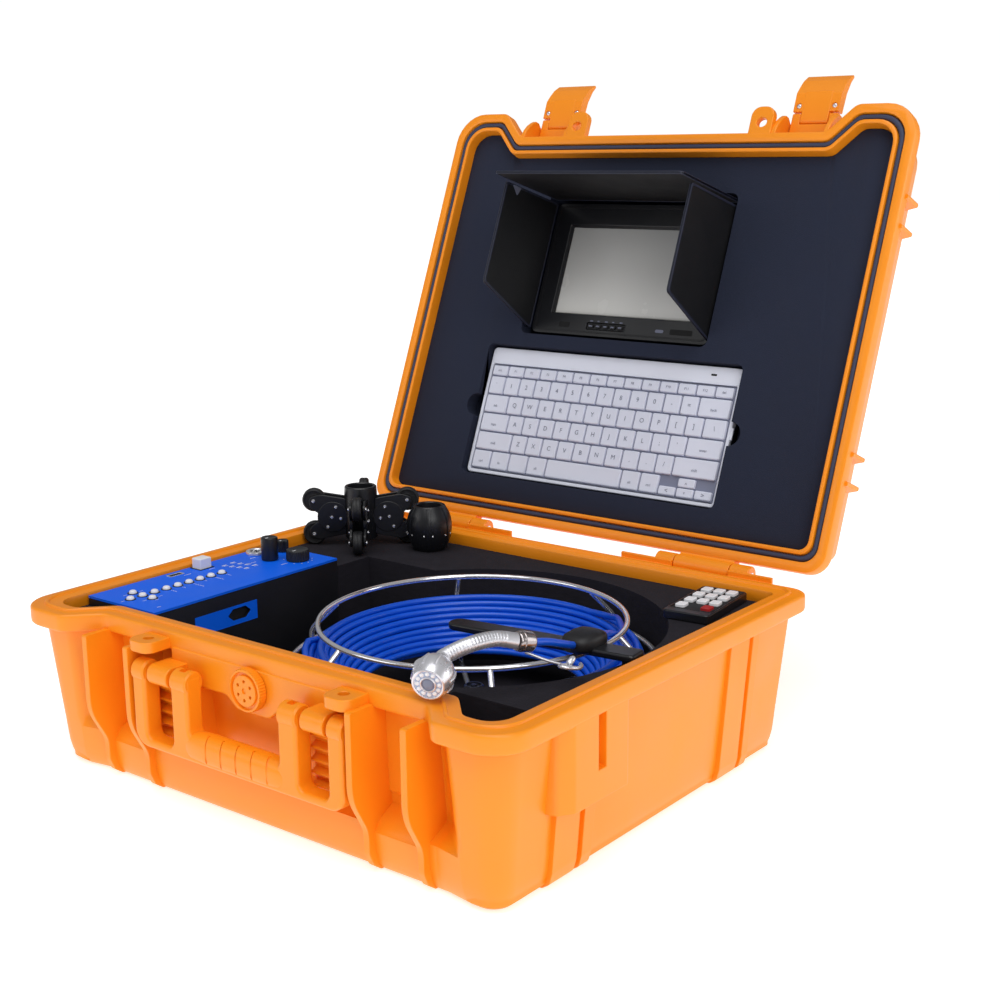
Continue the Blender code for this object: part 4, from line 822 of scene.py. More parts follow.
def control_box():
    keep("control_box_housing", SATIN)
    keep("control_panel", PANEL)
    keep("control_board", surface("circuit_lacquer", "circuit_board", srgb(20, 92, 48), 0.4, patch=200.0))
    keep("battery_pack", surface("battery_sleeve", "battery_wrap", srgb(46, 66, 140), 0.45))

    cluster = [(-188.0 + 12.5 * dx, -126.0 + 12.5 * dy) for dx, dy in ((0, 0), (-1, 0), (1, 0), (0, -1), (0, 1))]
    row = [(-188.0, -101.0 + 12.2 * step) for step in range(6)]
    caps = new()
    for x, y in cluster:
        button(caps, x, y)
    piece("cluster_caps", caps, WHITE, "cluster_pad", ["cluster_keys"], sharp=40)
    for index, (x, y) in enumerate(row, start=1):
        piece(f"row_button_{index}", button(new(), x, y), WHITE, f"button_{index}", [f"push_button_{index}"],
              sharp=40)
    rings = new()
    for x, y in cluster + row:
        bezel_ring(rings, x, y, 3.75, 4.6, 0.55)
    piece("button_rings", rings, BLACK, "case", sharp=40)

    print_marks = new()

    def dash(x, y, along, across):
        add_box(print_marks, x - across / 2, x + across / 2, y - along / 2, y + along / 2, PANEL_TOP + 0.02,
                PANEL_TOP + 0.12)

    for index, (x, y) in enumerate(row):
        for step in range((5, 3, 9, 2, 7, 4)[index]):
            dash(x + 6.6 + step * 1.5, y + (0.2 if step % 2 else -0.2), 0.5, 1.1)
    for x, y in ((-200.5, -134), (-175.5, -134), (-200.5, -117.5), (-175.5, -117.5), (-188, -146.5), (-170, -126)):
        for step in range(3):
            dash(x, y + step * 1.3 - 1.3, 0.9, 0.6)
    for column in range(2):
        for line in range(4):
            x, y = -205.0 + line * 7.2 - column * 1.5, -22.0 + line * 2.0 + column * 11.0
            dash(x, y, 5.0, 1.5)
            for step in range(3):
                dash(x + 2.6, y - 2.0 + step * 1.7, 1.2, 0.5)
    for x, y, count in ((-208.5, -64, 6), (-206, -38, 5), (-203.5, 8, 5), (-192, -6, 8), (-206, 34, 4), (-166, 10, 6),
                        (-179, 34, 5), (-152, -140, 3)):
        for step in range(count):
            dash(x, y + step * 1.3, 0.9, 0.7)
    for turn in range(0, 300, 30):
        angle = math.radians(turn - 60)
        dash(-166 + 13.0 * math.cos(angle), 30 + 13.0 * math.sin(angle), 0.9, 0.9)
    piece("panel_print", print_marks, WHITE, "case")

    port = carved(add_box(new(), -219.4, -212.6, -75.6, -60.4, PANEL_TOP, PANEL_TOP + 0.5),
                  add_box(new(), -218.2, -213.8, -74.4, -61.6, PANEL_TOP - 2, PANEL_TOP + 2))
    piece("port_frame", port, STEEL, "case", round_off=0.2)
    # A near-black sheet in the port's opening: painted shade inside the port.
    piece("port_opening_painted_shade", add_box(new(), -218.3, -213.7, -74.5, -61.5, PANEL_TOP, PANEL_TOP + 0.15), DARK, "case")

    x, y = -213.0, 24.0
    ring = [(0, -1.5), (5.9, -1.5), (5.9, 2.2), (6.6, 2.9), (8.6, 3.0), (9.5, 2.6), (9.8, 1.8), (9.8, 0.3),
            (7.9, 0.3), (7.9, -12), (0, -12)]
    lathe("socket_ring", ring, STEEL, "case", ["round_socket"], shift(x, y, PANEL_TOP), 48, 32)
    core = [(0, 1.3), (5.5, 1.3), (5.7, 1.0), (5.7, -1.4), (0, -1.4)]
    lathe("socket_core", core, DARK, "case", (), shift(x, y, PANEL_TOP), 36, 32)
    pins = new()
    for turn in evenly(6):
        matrix = shift(x + 3.5 * math.cos(turn), y + 3.5 * math.sin(turn), PANEL_TOP)
        add_turned(pins, [(0, 2.6), (0.5, 2.4), (0.75, 1.8), (0.75, 1.0), (0, 1.0)], matrix, 14)
    piece("socket_pins", pins, BRIGHT, "case", sharp=32)

    knob("connector_cover", -187.0, 16.0, 7.6, 21.0, "cap", "connector_cap", 0)
    knob("speaker_dial", -199.0, 43.0, 5.6, 11.0, "speaker_control", "speaker_knob", 24)
    knob("dimmer_dial", -166.0, 30.0, 10.4, 10.0, "dimmer_control", "dimmer_knob", 30)

    x, y = -216.0, -38.0
    body = add_box(new(), x - 5.7, x + 5.7, y - 6.4, y + 6.4, PANEL_TOP - 2.0, PANEL_TOP + 9.4)
    piece("receiver_body", body, WHITE, "receiver", ["usb_receiver"], round_off=1.0)
    metal = add_box(new(), x - 5.4, x + 5.4, y - 6.0, y + 6.0, PANEL_TOP - 6, PANEL_TOP - 1.4)
    piece("receiver_plug", metal, STEEL, "receiver", round_off=0.3)
    piece("receiver_port", carved(add_box(new(), x - 7.2, x + 7.2, y - 7.9, y + 7.9, PANEL_TOP, PANEL_TOP + 0.6),
                                  add_box(new(), x - 6.1, x + 6.1, y - 6.8, y + 6.8, PANEL_TOP - 2,
                                          PANEL_TOP + 2)), BLACK, "case", round_off=0.2)

    recess = add_box(new(), -142.05, -141.75, -111, -43, 102, 118.4)
    slot = rounded([(-76, 111), (-70, 106), (-56, 106), (-50, 111), (-56, 116), (-70, 116)], 1.2, 3)
    piece("side_plate", carved(recess, add_prism(new(), slot, "X", -150, -136)), PANEL, "case")
    # A near-black sheet behind the side plate's slot: painted shade of the box's inside.
    piece("side_slot_painted_shade", add_box(new(), -146, -145.5, -78, -48, 104, 118), DARK, "case")


def reel():
    cage = new()
    for radius, height, count in ((RING_RADIUS, RING_HEIGHT, 14), (WIDE_RADIUS, WIDE_HEIGHT, 12)):
        add_tube(cage, [on_reel(3.75 * step, radius, height) for step in range(96)], WIRE, count, closed=True)
    for index in range(6):
        angle = 15 + 60 * index
        route = [(26, 54), (60, 54), (100, 54), (112, 57.5), (142, 84.5), (147.2, 92), (145.8, 102), (134, 114.5),
                 (122.5, 125.6)]
        add_tube(cage, smooth_route([on_reel(angle, radius, height) for radius, height in route], 5), WIRE, 12)
    piece("reel_wires", cage, BRIGHT, "reel", ["reel_cage"], sharp=60)
    hub = [(8.5, 50.4), (8.5, 57.4), (9.1, 58), (28.6, 58), (30, 56.8), (30, 51.2), (28.8, 50), (9.1, 50)]
    lathe("reel_hub", hub, BLACK, "reel", (), shift(REEL_X, REEL_Y, 0), 64)
    post = [(0, 72), (2.2, 72), (2.6, 70.6), (5.6, 70.6), (6.0, 72), (7, 72), (8, 71), (8, 49.6), (20, 49.4),
            (33, 44.4), (34, 43.4), (34, 40.3), (0, 40.3)]
    lathe("spindle_post", post, BLACK, "case", ["reel_spindle"], shift(REEL_X, REEL_Y, 0), 56)

    bar = rounded([(62, -42), (66, -24), (224, -4), (226, -24)], [8.6, 8.6, 4, 4], 8)
    arm = add_prism(new(), bar, "Z", 130.4, 136.0)
    piece("guide_bar", arm, BLACK, "case", ["cable_guide_arm"], round_off=2.0, segments=4)
    clip = new()
    rings = []
    for y, wide, low, high in ((-37, 6.5, 134.5, 141), (-35, 9.5, 132.6, 143.6), (-29, 12.6, 131.2, 145.4),
                               (-18, 13.5, 131.0, 146.0), (-10, 13.0, 131.0, 145.6), (-5, 10.6, 131.8, 144.0),
                               (-3, 7, 134.0, 141.0)):
        rings.append([(180.6 + x, y, (low + high) / 2 + z) for x, z in squircle(wide, (high - low) / 2, 0.6)])
    add_loft(clip, rings)
    tunnel = add_rod(new(), (182.0, -60, 140.4), (180.0, 20, 136.4), 3.1, 24)
    piece("guide_clip", carved(clip, tunnel), SATIN, "case", sharp=40)
    foot = add_box(new(), 214, 224, -21, -7, FOAM_TOP + 0.1, 132)
    piece("guide_foot", foot, BLACK, "case", round_off=1.2)

    wires = new()
    add_tube(wires, smooth_route([(182, -92.5, 149.2), (194, -83, 143), (206, -70, 136.8)], 6), 1.1, 10)
    add_tube(wires, smooth_route([(206, -70, 136.8), (210.5, -66, 136.4), (208, -62, 136.2)], 6), 1.1, 10)
    piece("guide_strut", wires, STEEL, "case", sharp=60)
    hook = new()
    loop = [(206, -60, 136.4), (211, -66, 137.5), (214, -74, 139), (213, -82, 141), (208.5, -86, 142),
            (204.5, -82, 141), (203.6, -74, 139.2)]
    add_tube(hook, smooth_route(loop, 6), 1.5, 10)
    add_turned(hook, [(0, 8), (1.4, 7.8), (2.3, 6.4), (2.5, 1.6), (1.7, 0.2), (0, 0)],
               shift(203.5, -71.5, 138.6) @ spun(-62, "X"), 20)
    piece("snap_hook", hook, STEEL, "case", sharp=45)


def camera_head():
    head = Vector((168.0, -173.0, 152.2))
    face = Vector((0.36, -0.90, -0.22)).normalized()
    matrix = Matrix.Translation(head) @ face.to_track_quat("Z", "Y").to_matrix().to_4x4()
    profile = [(0, 11.2), (9.7, 11.2), (9.9, 12.0), (10.5, 12.3), (11.3, 11.9), (12.3, 9.6), (13.6, 5.8),
               (14.3, 1.6), (14.1, -2.4), (13.2, -6.0), (11.6, -9.2), (9.4, -11.6), (8.4, -12.6), (8.0, -15.0),
               (0, -15.0)]
    lathe("head_body", profile, STEEL, "case", ["camera_head"], matrix, 60, 34)
    grips = new()
    for turn in evenly(10):
        spoke = [matrix @ Vector((radius * math.cos(turn), radius * math.sin(turn), height))
                 for radius, height in ((13.2, 6.2), (14.2, 1.6), (14.1, -2.0), (13.1, -5.8))]
        add_tube(grips, smooth_route(spoke, 4), 0.9, 8)
    piece("head_ribs", grips, STEEL, "case", sharp=60)
    plate = [(0, 11.4), (9.4, 11.4), (9.4, 11.0), (0, 11.0)]
    lathe("head_face", plate, HEAD_FACE, "case", (), matrix, 48, 34)
    lamps = new()
    for turn in evenly(12):
        spot = matrix @ shift(7.7 * math.cos(turn), 7.7 * math.sin(turn), 11.3)
        add_turned(lamps, [(0, 1.2), (0.9, 1.05), (1.45, 0.55), (1.6, 0.0), (0, 0.0)], spot, 18)
    piece("head_lamps", lamps, WHITE, "case", sharp=50)
    lens = [(0, 12.2), (2.6, 12.1), (4.3, 11.7), (4.6, 11.3), (0, 11.3)]
    glass = surface("lens_glass", "steel", srgb(112, 118, 142), 0.08, spread=0.1, coat=0.6)
    lathe("head_lens", lens, glass, "case", (), matrix, 36, 40)
    rim = [(4.6, 11.3), (4.6, 12.3), (5.0, 12.6), (5.6, 12.3), (5.8, 11.3)]
    lathe("lens_rim", rim, STEEL, "case", (), matrix, 40, 34)

    start = head - face * 16.7
    along = (COLLAR_START - COLLAR_END).normalized()
    knots = [start + face * 2.5, start - face * 7, Vector((169.5, -137.5, 164.0)), Vector((177.5, -119.5, 165.0)),
             COLLAR_START - along * 1.2]
    route = smooth_route(knots, 40)
    total = sum((second - first).length for first, second in zip(route, route[1:]))
    radii, gone = [], 0.0
    for index, point in enumerate(route):
        gone += (point - route[index - 1]).length if index else 0.0
        coiled = 0.16 < gone / total < 0.86
        radii.append(5.55 + 0.08 * math.cos(math.tau * gone / 2.2) if coiled else 5.7)
    piece("neck_spring_coils", add_tube(new(), route, radii, 32), NICKEL, "case", ["neck_spring"], sharp=60)


# The wheel's section from its right face to its middle; the left half mirrors it
WHEEL_HALF = [(0, 3.4), (3.6, 3.4), (4.0, 3.9), (5.6, 3.9), (6.0, 3.4), (8.2, 3.5), (8.7, 4.2), (9.6, 4.3),
              (10.5, 3.6), (11.0, 2.3), (11.0, 0.7), (10.7, 0.0)]
WHEEL = WHEEL_HALF + [(radius, -height) for radius, height in reversed(WHEEL_HALF[:-1])]


def screw_head(shape, matrix, radius):
    return add_turned(shape, [(0, radius * 0.3), (radius * 0.32, radius * 0.3), (radius * 0.4, radius * 0.62),
                              (radius * 0.72, radius * 0.55), (radius, 0.15), (radius, -0.8), (0, -0.8)], matrix, 20)


def roller_skid():
    tube = [(12, 131.6), (12, 180.2), (12.7, 181), (14.3, 181), (15, 180.2), (15.4, 175), (15.4, 137), (15, 131.6),
            (14.3, 131), (12.7, 131)]
    lathe("skid_tube", tube, BLACK, "roller_skid", ["skid_body"], shift(SKID_X, SKID_Y, 0), 56)
    plates, screws = new(), new()
    for index, word in enumerate(("right", "back", "left", "front")):
        spin = (shift(SKID_X, SKID_Y, 0)
                @ spun(39 + 90 * index, "Z"))
        for side in (-1, 1):
            arm = new()
            outline = rounded([(13.6, 136), (38, 131), (49, 134), (47, 143), (34, 152.2), (47, 161), (49, 171),
                               (38, 174), (13.6, 170)], [2, 5, 4.6, 4.6, 4, 4.6, 4.6, 5, 2], steps=6)
            add_prism(arm, outline, "Y", side * 5.0, side * 7.6)
            boss = circle(26, 152.6, 14.6, 48)
            add_prism(arm, boss, "Y", side * 4.8, side * 8.3)
            turned_by(arm, spin)
            mesh = bpy.data.meshes.new("draft")
            arm.to_mesh(mesh)
            arm.free()
            plates.from_mesh(mesh)
            bpy.data.meshes.remove(mesh)
            facing = spun(-90 * side, "X")
            for out, height, size in ((23.0, 162.0, 1.7), (18.6, 151.0, 1.7), (27.0, 152.4, 1.7),
                                      (31.0, 143.0, 1.7)):
                screw_head(screws, spin @ shift(out, side * 8.3, height) @ facing, size)
            for height in (FOAM_TOP + 11.4, FOAM_TOP + 43.0):
                screw_head(screws, spin @ shift(SKID_REACH, side * 7.6, height) @ facing, 1.9)
        for rank, height in (("lower", FOAM_TOP + 11.4), ("upper", FOAM_TOP + 43.0)):
            hub = spin @ shift(SKID_REACH, 0, height) @ spun(90, "X")
            lathe(f"wheel_tyre_{word}_{rank}", WHEEL, TYRE, f"wheel_{word}_{rank}", [f"skid_wheel_{word}_{rank}"],
                  hub, 44)
    piece("skid_plates", plates, BLACK, "roller_skid", round_off=0.7)
    piece("skid_screws", screws, BRIGHT, "roller_skid")


def ball_skid():
    z = FOAM_TOP + 0.3
    outer = [(14.2, z + 42), (15.0, z + 41), (16.0, z + 39), (18.6, z + 35), (20.3, z + 30), (21.1, z + 24.5),
             (21.0, z + 19), (19.9, z + 12), (18.0, z + 6.5), (16.0, z + 2.6), (14.0, z)]
    profile = [(11.6, z + 41.2), (12.6, z + 42)] + outer + [(11, z), (11, z + 30)]
    lathe("ball_skid_shell", profile, BLACK, "ball_skid_body", ["ball_skid"], shift(BALL_X, BALL_Y, 0), 72)
    ribs, screws = new(), new()
    for index in range(6):
        turn = math.radians(-52 + 60 * index)
        across = Vector((-math.sin(turn), math.cos(turn), 0))
        rows = []
        for radius, height in outer[1:-1]:
            middle = Vector((BALL_X + radius * math.cos(turn), BALL_Y + radius * math.sin(turn), height))
            away = Vector((math.cos(turn), math.sin(turn), 0))
            wide = 2.4 if height > z + 8 else 1.6
            rows.append([middle - across * wide - away * 1.6, middle - across * wide * 0.9 + away * 0.5,
                         middle - across * wide * 0.45 + away * 0.85, middle + across * wide * 0.45 + away * 0.85,
                         middle + across * wide * 0.9 + away * 0.5, middle + across * wide - away * 1.6])
        add_loft(ribs, rows)
        for side in (-1, 1):
            spot = turn + side * 0.2
            radius = 20.6
            out = Vector((math.cos(spot), math.sin(spot), -0.15))
            matrix = (shift(BALL_X + radius * math.cos(spot), BALL_Y + radius * math.sin(spot), z + 16)
                      @ out.to_track_quat("Z", "Y").to_matrix().to_4x4())
            screw_head(screws, matrix, 0.9)
    piece("ball_skid_ribs", ribs, BLACK, "ball_skid_body", sharp=50)
    piece("ball_skid_screws", screws, BRIGHT, "ball_skid_body")


def remote():
    z = FOAM_TOP + 0.3
    spin = (shift(REMOTE_X, REMOTE_Y, 0) @ spun(REMOTE_TURN, "Z"))
    case = add_prism(new(), rectangle(-20, 20, -39, 39, 4.0, 5), "Z", z, z + 7.4)
    case = carved(case, add_prism(new(), rectangle(-17.6, 17.6, -30.0, 36.6, 2.0, 4), "Z", z + 5.2, z + 12))
    piece("remote_shell", turned_by(case, spin), BLACK, "remote", ["remote_case"], round_off=1.2)
    mat = add_prism(new(), rectangle(-17.2, 17.2, -29.6, 36.2, 1.6, 4), "Z", z + 5.3, z + 7.0)
    piece("remote_mat", turned_by(mat, spin), RUBBER, "remote_key_pad", ["remote_keys"], round_off=0.3)
    keys, red = new(), new()
    for column in range(3):
        for row in range(4):
            x, y = (column - 1) * 11.0, -21.5 + row * 16.0
            if (column, row) == (1, 0):
                continue
            target = red if (column, row) == (2, 0) else keys
            add_prism(target, rectangle(x - 4.1, x + 4.1, y - 5.0, y + 5.0, 1.6, 4), "Z", z + 6.4, z + 9.2)
    piece("remote_caps", turned_by(keys, spin), WHITE, "remote_key_pad", round_off=0.6)
    piece("remote_record_cap", turned_by(red, spin), RED, "remote_key_pad", round_off=0.6)


# ---------------------------------------------------------------- contents of the lid
def lid_foam():
    block = add_loft(new(), levels((19.9, 145.0), (19.5, 145.5), (19.4, 146.4), (22.9, 191.4)))
    x, y, w, h = MONITOR_X, MONITOR_Y, 105.0, 70.5
    block = carved(block, add_prism(new(), rectangle(x - w, x + w, y - h - 4, y + h, 7.0, 6), "Z", 120, 187.6))
    x, y, w, h = BOARD_X, BOARD_Y, BOARD_W + 2, BOARD_H + 2
    block = carved(block, add_prism(new(), rectangle(x - w, x + w, y - h, y + h, 5.5, 5), "Z", 120, 161.0))
    notches = new()
    for side in (-1, 1):
        add_prism(notches, circle(x + side * w, y - 3, 11.0, 40), "Z", 120, 160.9)
    block = carved(block, notches)
    piece("lid_foam_sheet", block, LID_FOAM, "lid", ["lid_foam"], round_off=0.9, segments=2, limit=50)


def frame_ring(outline, inner, axis, low, high):
    """A flat frame between two outlines with equally many points."""
    def at(pairs, level):
        return [lift(axis, pair, level) for pair in pairs]
    return add_loft(new(), [at(outline, low), at(outline, high), at(inner, high), at(inner, low)], ring_closed=True)


def monitor():
    keep("monitor_housing", SATIN)
    x, y = MONITOR_X, MONITOR_Y
    sx, sy, a, b = SCREEN_X, SCREEN_Y, SCREEN_W, SCREEN_H
    front = add_prism(new(), rectangle(x - 100, x + 100, y - 66, y + 66, 6.0, 6), "Z", BEZEL_FACE, 160.0)
    rings = [[(px, py, z) for px, py in rectangle(sx - a - grow, sx + a + grow, sy - b - grow, sy + b + grow,
                                                  0.8, 2)] for grow, z in ((2.2, 154), (0, 158.6), (0, 162))]
    front = carved(front, add_loft(new(), rings))
    front = carved(front, add_prism(new(), rectangle(sx - 34, sx + 10, 1.0, 8.0, 1.0, 3), "Z", 150, 158.6))
    piece("bezel_frame", front, BLACK, "lid", ["monitor_bezel"], round_off=0.9)
    step = frame_ring(rectangle(x - 97, x + 97, y - 63, y + 63, 5.0, 6),
                      rectangle(x - 95.4, x + 95.4, y - 61.4, y + 61.4, 4.2, 6), "Z", 154.5, 155.4)
    piece("bezel_line", step, SATIN, "lid")
    glass = add_box(new(), sx - 80.4, sx + 80.4, sy - 46.9, sy + 46.9, 160.3, 165.6)
    piece("screen_panel", glass, SCREEN, "lid", ["lcd_panel"], round_off=0.3)

    pad = add_prism(new(), rectangle(sx - 33.5, sx + 9.5, 1.5, 7.5, 0.8, 3), "Z", 155.9, 157.3)
    piece("monitor_key_strip", pad, RUBBER, "monitor_key_pad", ["monitor_keys"], round_off=0.2)
    caps, marks = new(), new()
    for index in range(5):
        left = sx - 32 + index * 8.4
        add_prism(caps, rectangle(left, left + 6.4, 3.0, 6.4, 1.5, 4), "Z", 154.2, 156.4)
        add_box(marks, left + 1.4, left + 5.0, 4.1, 5.3, 154.05, 154.3)
    piece("monitor_key_caps", caps, SATIN, "monitor_key_pad", round_off=0.4)
    piece("monitor_key_marks", marks, PRINT, "monitor_key_pad")
    labels = new()
    for index in range(5):
        left = sx - 31 + index * 8.4
        add_box(labels, left + 0.6, left + 3.8 - index % 2, -0.9, 0.2, 154.85, 155.02)
    oval = rounded([(sx + 44, 3.4), (sx + 53, 3.4), (sx + 53, 6.4), (sx + 44, 6.4)], 1.4, 4)
    add_prism(labels, oval, "Z", 154.85, 155.02)
    piece("bezel_marks", labels, PRINT, "lid")
    window = add_prism(new(), rectangle(sx + 60, sx + 84, 2.2, 7.4, 1.0, 3), "Z", 154.8, 155.05)
    add_prism(window, rectangle(sx - 66, sx - 54, 2.2, 7.4, 1.0, 3), "Z", 154.8, 155.05)
    piece("sensor_windows", window, DARK, "lid")


def sunshade():
    z = 152.5
    left, right = MONITOR_X - 101.6, MONITOR_X + 101.6
    top_edge = MONITOR_Y - 66.0
    for x, word, toward in ((left, "left", 1), (right, "right", -1)):
        outline = rounded([(top_edge + 1.2, z + 1), (top_edge + 10.0, z - 84), (-9, z - 84), (12, z + 1)],
                          [1, 3, 4, 2], steps=4)
        board = add_prism(new(), outline, "X", x - 1.0, x + 1.0)
        body = f"sunshade_{word}_flap"
        piece(f"shade_board_{word}", board, SHADE, body, [f"sunshade_{word}"], round_off=0.35)
        middle = Vector((sum(p[0] for p in outline) / len(outline), sum(p[1] for p in outline) / len(outline)))
        inner = [tuple(middle + (Vector(p) - middle) * 0.965) for p in outline]
        # The edging frame round each side flap carries the painted highlight colour.
        piece(f"shade_highlight_edging_{word}", frame_ring(outline, inner, "X", x - 1.35, x + 1.35), SHADE_EDGE_HIGHLIGHT, body,
              round_off=0.3)
        tab = rounded([(top_edge + 8.6, z - 62), (top_edge + 9.6, z - 76), (top_edge + 17.5, z - 66)], 0.8, 3)
        piece(f"shade_tab_{word}", add_prism(new(), tab, "X", x + toward * 1.4, x + toward * 1.9), PRINT, body)
    y = top_edge - 3.5
    droop = (shift(MONITOR_X, y, z) @ spun(6.5, "X")
             @ shift(-MONITOR_X, -y, -z))
    outline = rounded([(left - 1, z + 1), (right + 1, z + 1), (right + 1, z - 104), (left - 1, z - 104)],
                      [1, 1, 4, 4], steps=4)
    board = turned_by(add_prism(new(), outline, "Y", y - 1.0, y + 1.0), droop)
    piece("shade_board_top", board, SHADE, "sunshade_top_flap", ["sunshade_top"], round_off=0.35)
    middle = Vector((MONITOR_X, z - 51.5))
    inner = [tuple(middle + Vector(((p[0] - middle.x) * 0.984, (p[1] - middle.y) * 0.965))) for p in outline]
    # The edging frame round the top flap carries the painted highlight colour.
    edging = turned_by(frame_ring(outline, inner, "Y", y - 1.35, y + 1.35), droop)
    piece("shade_highlight_edging_top", edging, SHADE_EDGE_HIGHLIGHT, "sunshade_top_flap", round_off=0.3)


def add_text(shape, words, x, y, z, size):
    """Flat letters that are read from the open lid's inner side."""
    data = bpy.data.curves.new("legend", "FONT")
    data.body = words
    data.size = size
    data.align_x = "CENTER"
    data.align_y = "CENTER"
    data.resolution_u = 3
    thing = bpy.data.objects.new("legend", data)
    bpy.context.scene.collection.objects.link(thing)
    bpy.context.view_layer.update()
    mesh = bpy.data.meshes.new_from_object(thing.evaluated_get(bpy.context.evaluated_depsgraph_get()))
    mesh.transform(Matrix.Translation((x, y, z)) @ Matrix.Rotation(math.pi, 4, "X"))
    shape.from_mesh(mesh)
    bpy.data.objects.remove(thing, do_unlink=True)
    bpy.data.meshes.remove(mesh)


def key_cap(shape, x0, x1, y0, y1):
    rings = []
    for inset, z in ((0.0, 153.3), (0.05, 151.6), (0.35, 150.9), (0.9, 150.5), (1.6, 150.6)):
        rings.append([(x, y, z) for x, y in rectangle(x0 + inset, x1 - inset, y0 + inset, y1 - inset,
                                                      max(1.4 - inset * 0.5, 0.5), 4)])
    return add_loft(shape, rings)


def keyboard():
    x, y, w, h = BOARD_X, BOARD_Y, BOARD_W, BOARD_H
    tray = add_prism(new(), rectangle(x - w, x + w, y - h, y + h, 4.5, 6), "Z", 151.6, 160.3)
    bed = rectangle(x - w + 3.4, x + w - 3.4, y - h + 16.4, y + h - 3.4, 1.2, 3)
    tray = carved(tray, add_prism(new(), bed, "Z", 140, 157.0))
    piece("keyboard_tray", tray, SILVER, "keyboard", ["keyboard_case"], round_off=0.9)
    spot = rounded([(x + w - 32, y - h + 7.0), (x + w - 26, y - h + 7.0), (x + w - 26, y - h + 8.8),
                    (x + w - 32, y - h + 8.8)], 0.8, 4)
    piece("keyboard_light", add_prism(new(), spot, "Z", 151.4, 151.7), DARK, "keyboard")
    tab = rectangle(x + w - 3, x + w + 1.6, 88, 99, 0.6, 3)
    piece("keyboard_tab", add_prism(new(), tab, "Z", 152.2, 153.6), SILVER, "keyboard", round_off=0.3)

    sheet = add_box(new(), x - w + 4.2, x + w - 4.2, y - h + 17.2, y + h - 4.2, 153.2, 154.5)
    piece("key_bed", sheet, KEY_EDGE, "key_pad", ["keyboard_keys"])

    def letters(words):
        return [(1.0, word) for word in words]

    rows = [(0.6, letters(["esc"] + [f"F{number}" for number in range(1, 13)] + ["del"])),
            (1.0, letters("`1234567890-=") + [(1.8, "back")]),
            (1.0, [(1.5, "tab")] + letters("QWERTYUIOP[]") + [(1.3, "\\")]),
            (1.0, [(1.8, "caps")] + letters("ASDFGHJKL;'") + [(2.0, "enter")]),
            (1.0, [(2.3, "shift")] + letters("ZXCVBNM,./") + [(2.5, "shift")]),
            (1.0, [(1.3, "ctrl"), (1.3, "fn"), (1.3, ""), (1.3, "alt"), (5.0, ""), (1.2, "alt"), (1.2, "ctrl"),
                   (1.1, "<"), (1.1, "^v"), (1.1, ">")])]
    caps, legends = new(), new()
    top, bottom = y - h + 17.6, y + h - 4.4
    pitch = (bottom - top) / 5.6
    for share, keys in rows:
        tall = share * pitch
        unit = (2 * w - 9) / sum(wide for wide, word in keys)
        left = x - w + 4.5
        for wide, word in keys:
            x0, x1, y0, y1 = left + 0.75, left + wide * unit - 0.75, top + 0.75, top + tall - 0.75
            middle = (x0 + x1) / 2
            if word == "^v":
                half = (y0 + y1) / 2
                key_cap(caps, x0, x1, y0, half - 0.4)
                key_cap(caps, x0, x1, half + 0.4, y1)
                add_text(legends, "^", middle, (y0 + half) / 2 + 1.2, 150.35, 5.0)
                add_text(legends, "v", middle, (half + y1) / 2, 150.35, 4.2)
            else:
                if word in ("<", ">"):
                    y0 = (y0 + y1) / 2 + 0.4
                key_cap(caps, x0, x1, y0, y1)
                size = 6.2 if len(word) == 1 else (3.6 if share == 1.0 else 3.4)
                if word:
                    lower = 0.0 if len(word) == 1 or share < 1.0 else 2.0
                    add_text(legends, word, middle, (y0 + y1) / 2 + lower, 150.35, size)
            left += wide * unit
        top += tall
    piece("key_caps", caps, KEY, "key_pad", sharp=50)
    piece("key_legends", legends, PRINT, "key_pad", outward=False)


foam_block()
control_box()
reel()
camera_head()
roller_skid()
ball_skid()
remote()
lid_foam()
monitor()
sunshade()
keyboard()


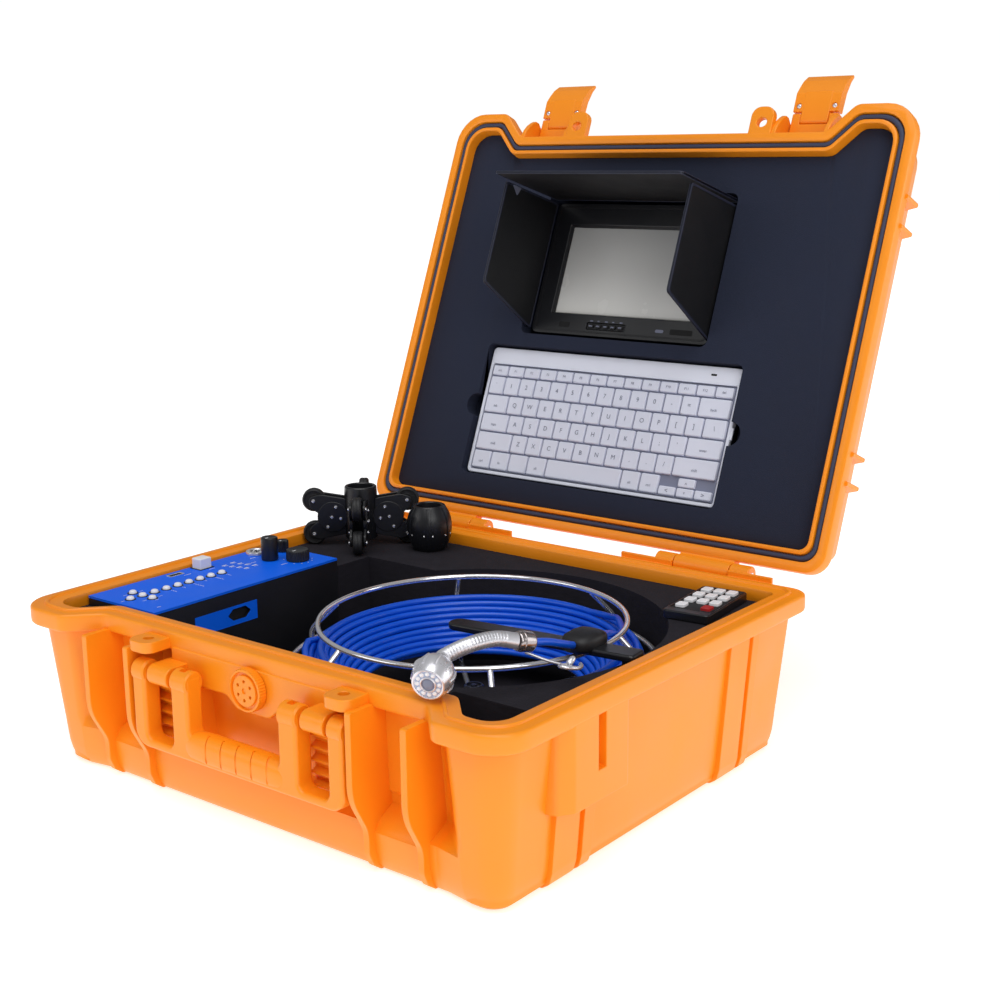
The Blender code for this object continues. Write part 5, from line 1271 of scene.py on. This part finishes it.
# ---------------------------------------------------------------- the room
def room():
    floor = add_turned(new(), [(0, 0), (14000, 0), (14000, -20), (0, -20)], None, 64)
    bmesh.ops.scale(floor, vec=(MM, MM, MM), verts=floor.verts)
    ground = to_object("studio_floor", floor)
    ground.location.z = -0.0004
    look = bpy.data.materials.new("studio_white")
    look.use_nodes = True
    for socket, value in (("Base Color", (0.8, 0.8, 0.81, 1)), ("Roughness", 0.9), ("Specular IOR Level", 0.0),
                          ("Emission Color", (1, 1, 1, 1)), ("Emission Strength", 0.62)):
        look.node_tree.nodes["Principled BSDF"].inputs[socket].default_value = value
    ground.data.materials.append(look)

    dome = new()
    bmesh.ops.create_icosphere(dome, subdivisions=5, radius=13.0)
    backdrop = to_object("studio_backdrop", dome)
    glow = bpy.data.materials.new("studio_glow")
    glow.use_nodes = True
    glow.node_tree.nodes.clear()
    light = add_node(glow.node_tree, "Emission", {"Strength": 1.02})
    out = add_node(glow.node_tree, "OutputMaterial")
    glow.node_tree.links.new(light.outputs["Emission"], out.inputs["Surface"])
    backdrop.data.materials.append(glow)
    for flag in ("visible_diffuse", "visible_glossy", "visible_transmission", "visible_shadow",
                 "visible_volume_scatter"):
        setattr(backdrop, flag, False)

    world = bpy.data.worlds.new("studio")
    bpy.context.scene.world = world
    world.use_nodes = True
    world.node_tree.nodes["Background"].inputs["Color"].default_value = (1.0, 1.0, 1.0, 1)
    world.node_tree.nodes["Background"].inputs["Strength"].default_value = 0.24

    def lamp(name, kind, energy, place, aim, size):
        data = bpy.data.lights.new(name, kind)
        data.energy = energy
        if kind == "AREA":
            data.shape = "RECTANGLE"
            data.size, data.size_y = size
        else:
            data.angle = size
        thing = bpy.data.objects.new(name, data)
        bpy.context.scene.collection.objects.link(thing)
        thing.location = place
        thing.rotation_mode = "QUATERNION"
        thing.rotation_quaternion = (Vector(aim) - Vector(place)).to_track_quat("-Z", "Y")

    lamp("sky", "SUN", 1.45, (0.6, -1.2, 4.0), (0, 0, 0), math.radians(50))
    lamp("key", "AREA", 17.0, (2.2, -1.1, 1.5), (0.0, 0.0, 0.15), (1.4, 1.4))
    lamp("side", "AREA", 14.0, (2.6, 2.2, 0.9), (0.1, 0.0, 0.1), (1.6, 1.4))
    lamp("fill", "AREA", 8.0, (-1.5, -2.1, 1.3), (0.0, 0.0, 0.15), (1.6, 1.2))


room()
bpy.context.scene.view_settings.view_transform = "Standard"
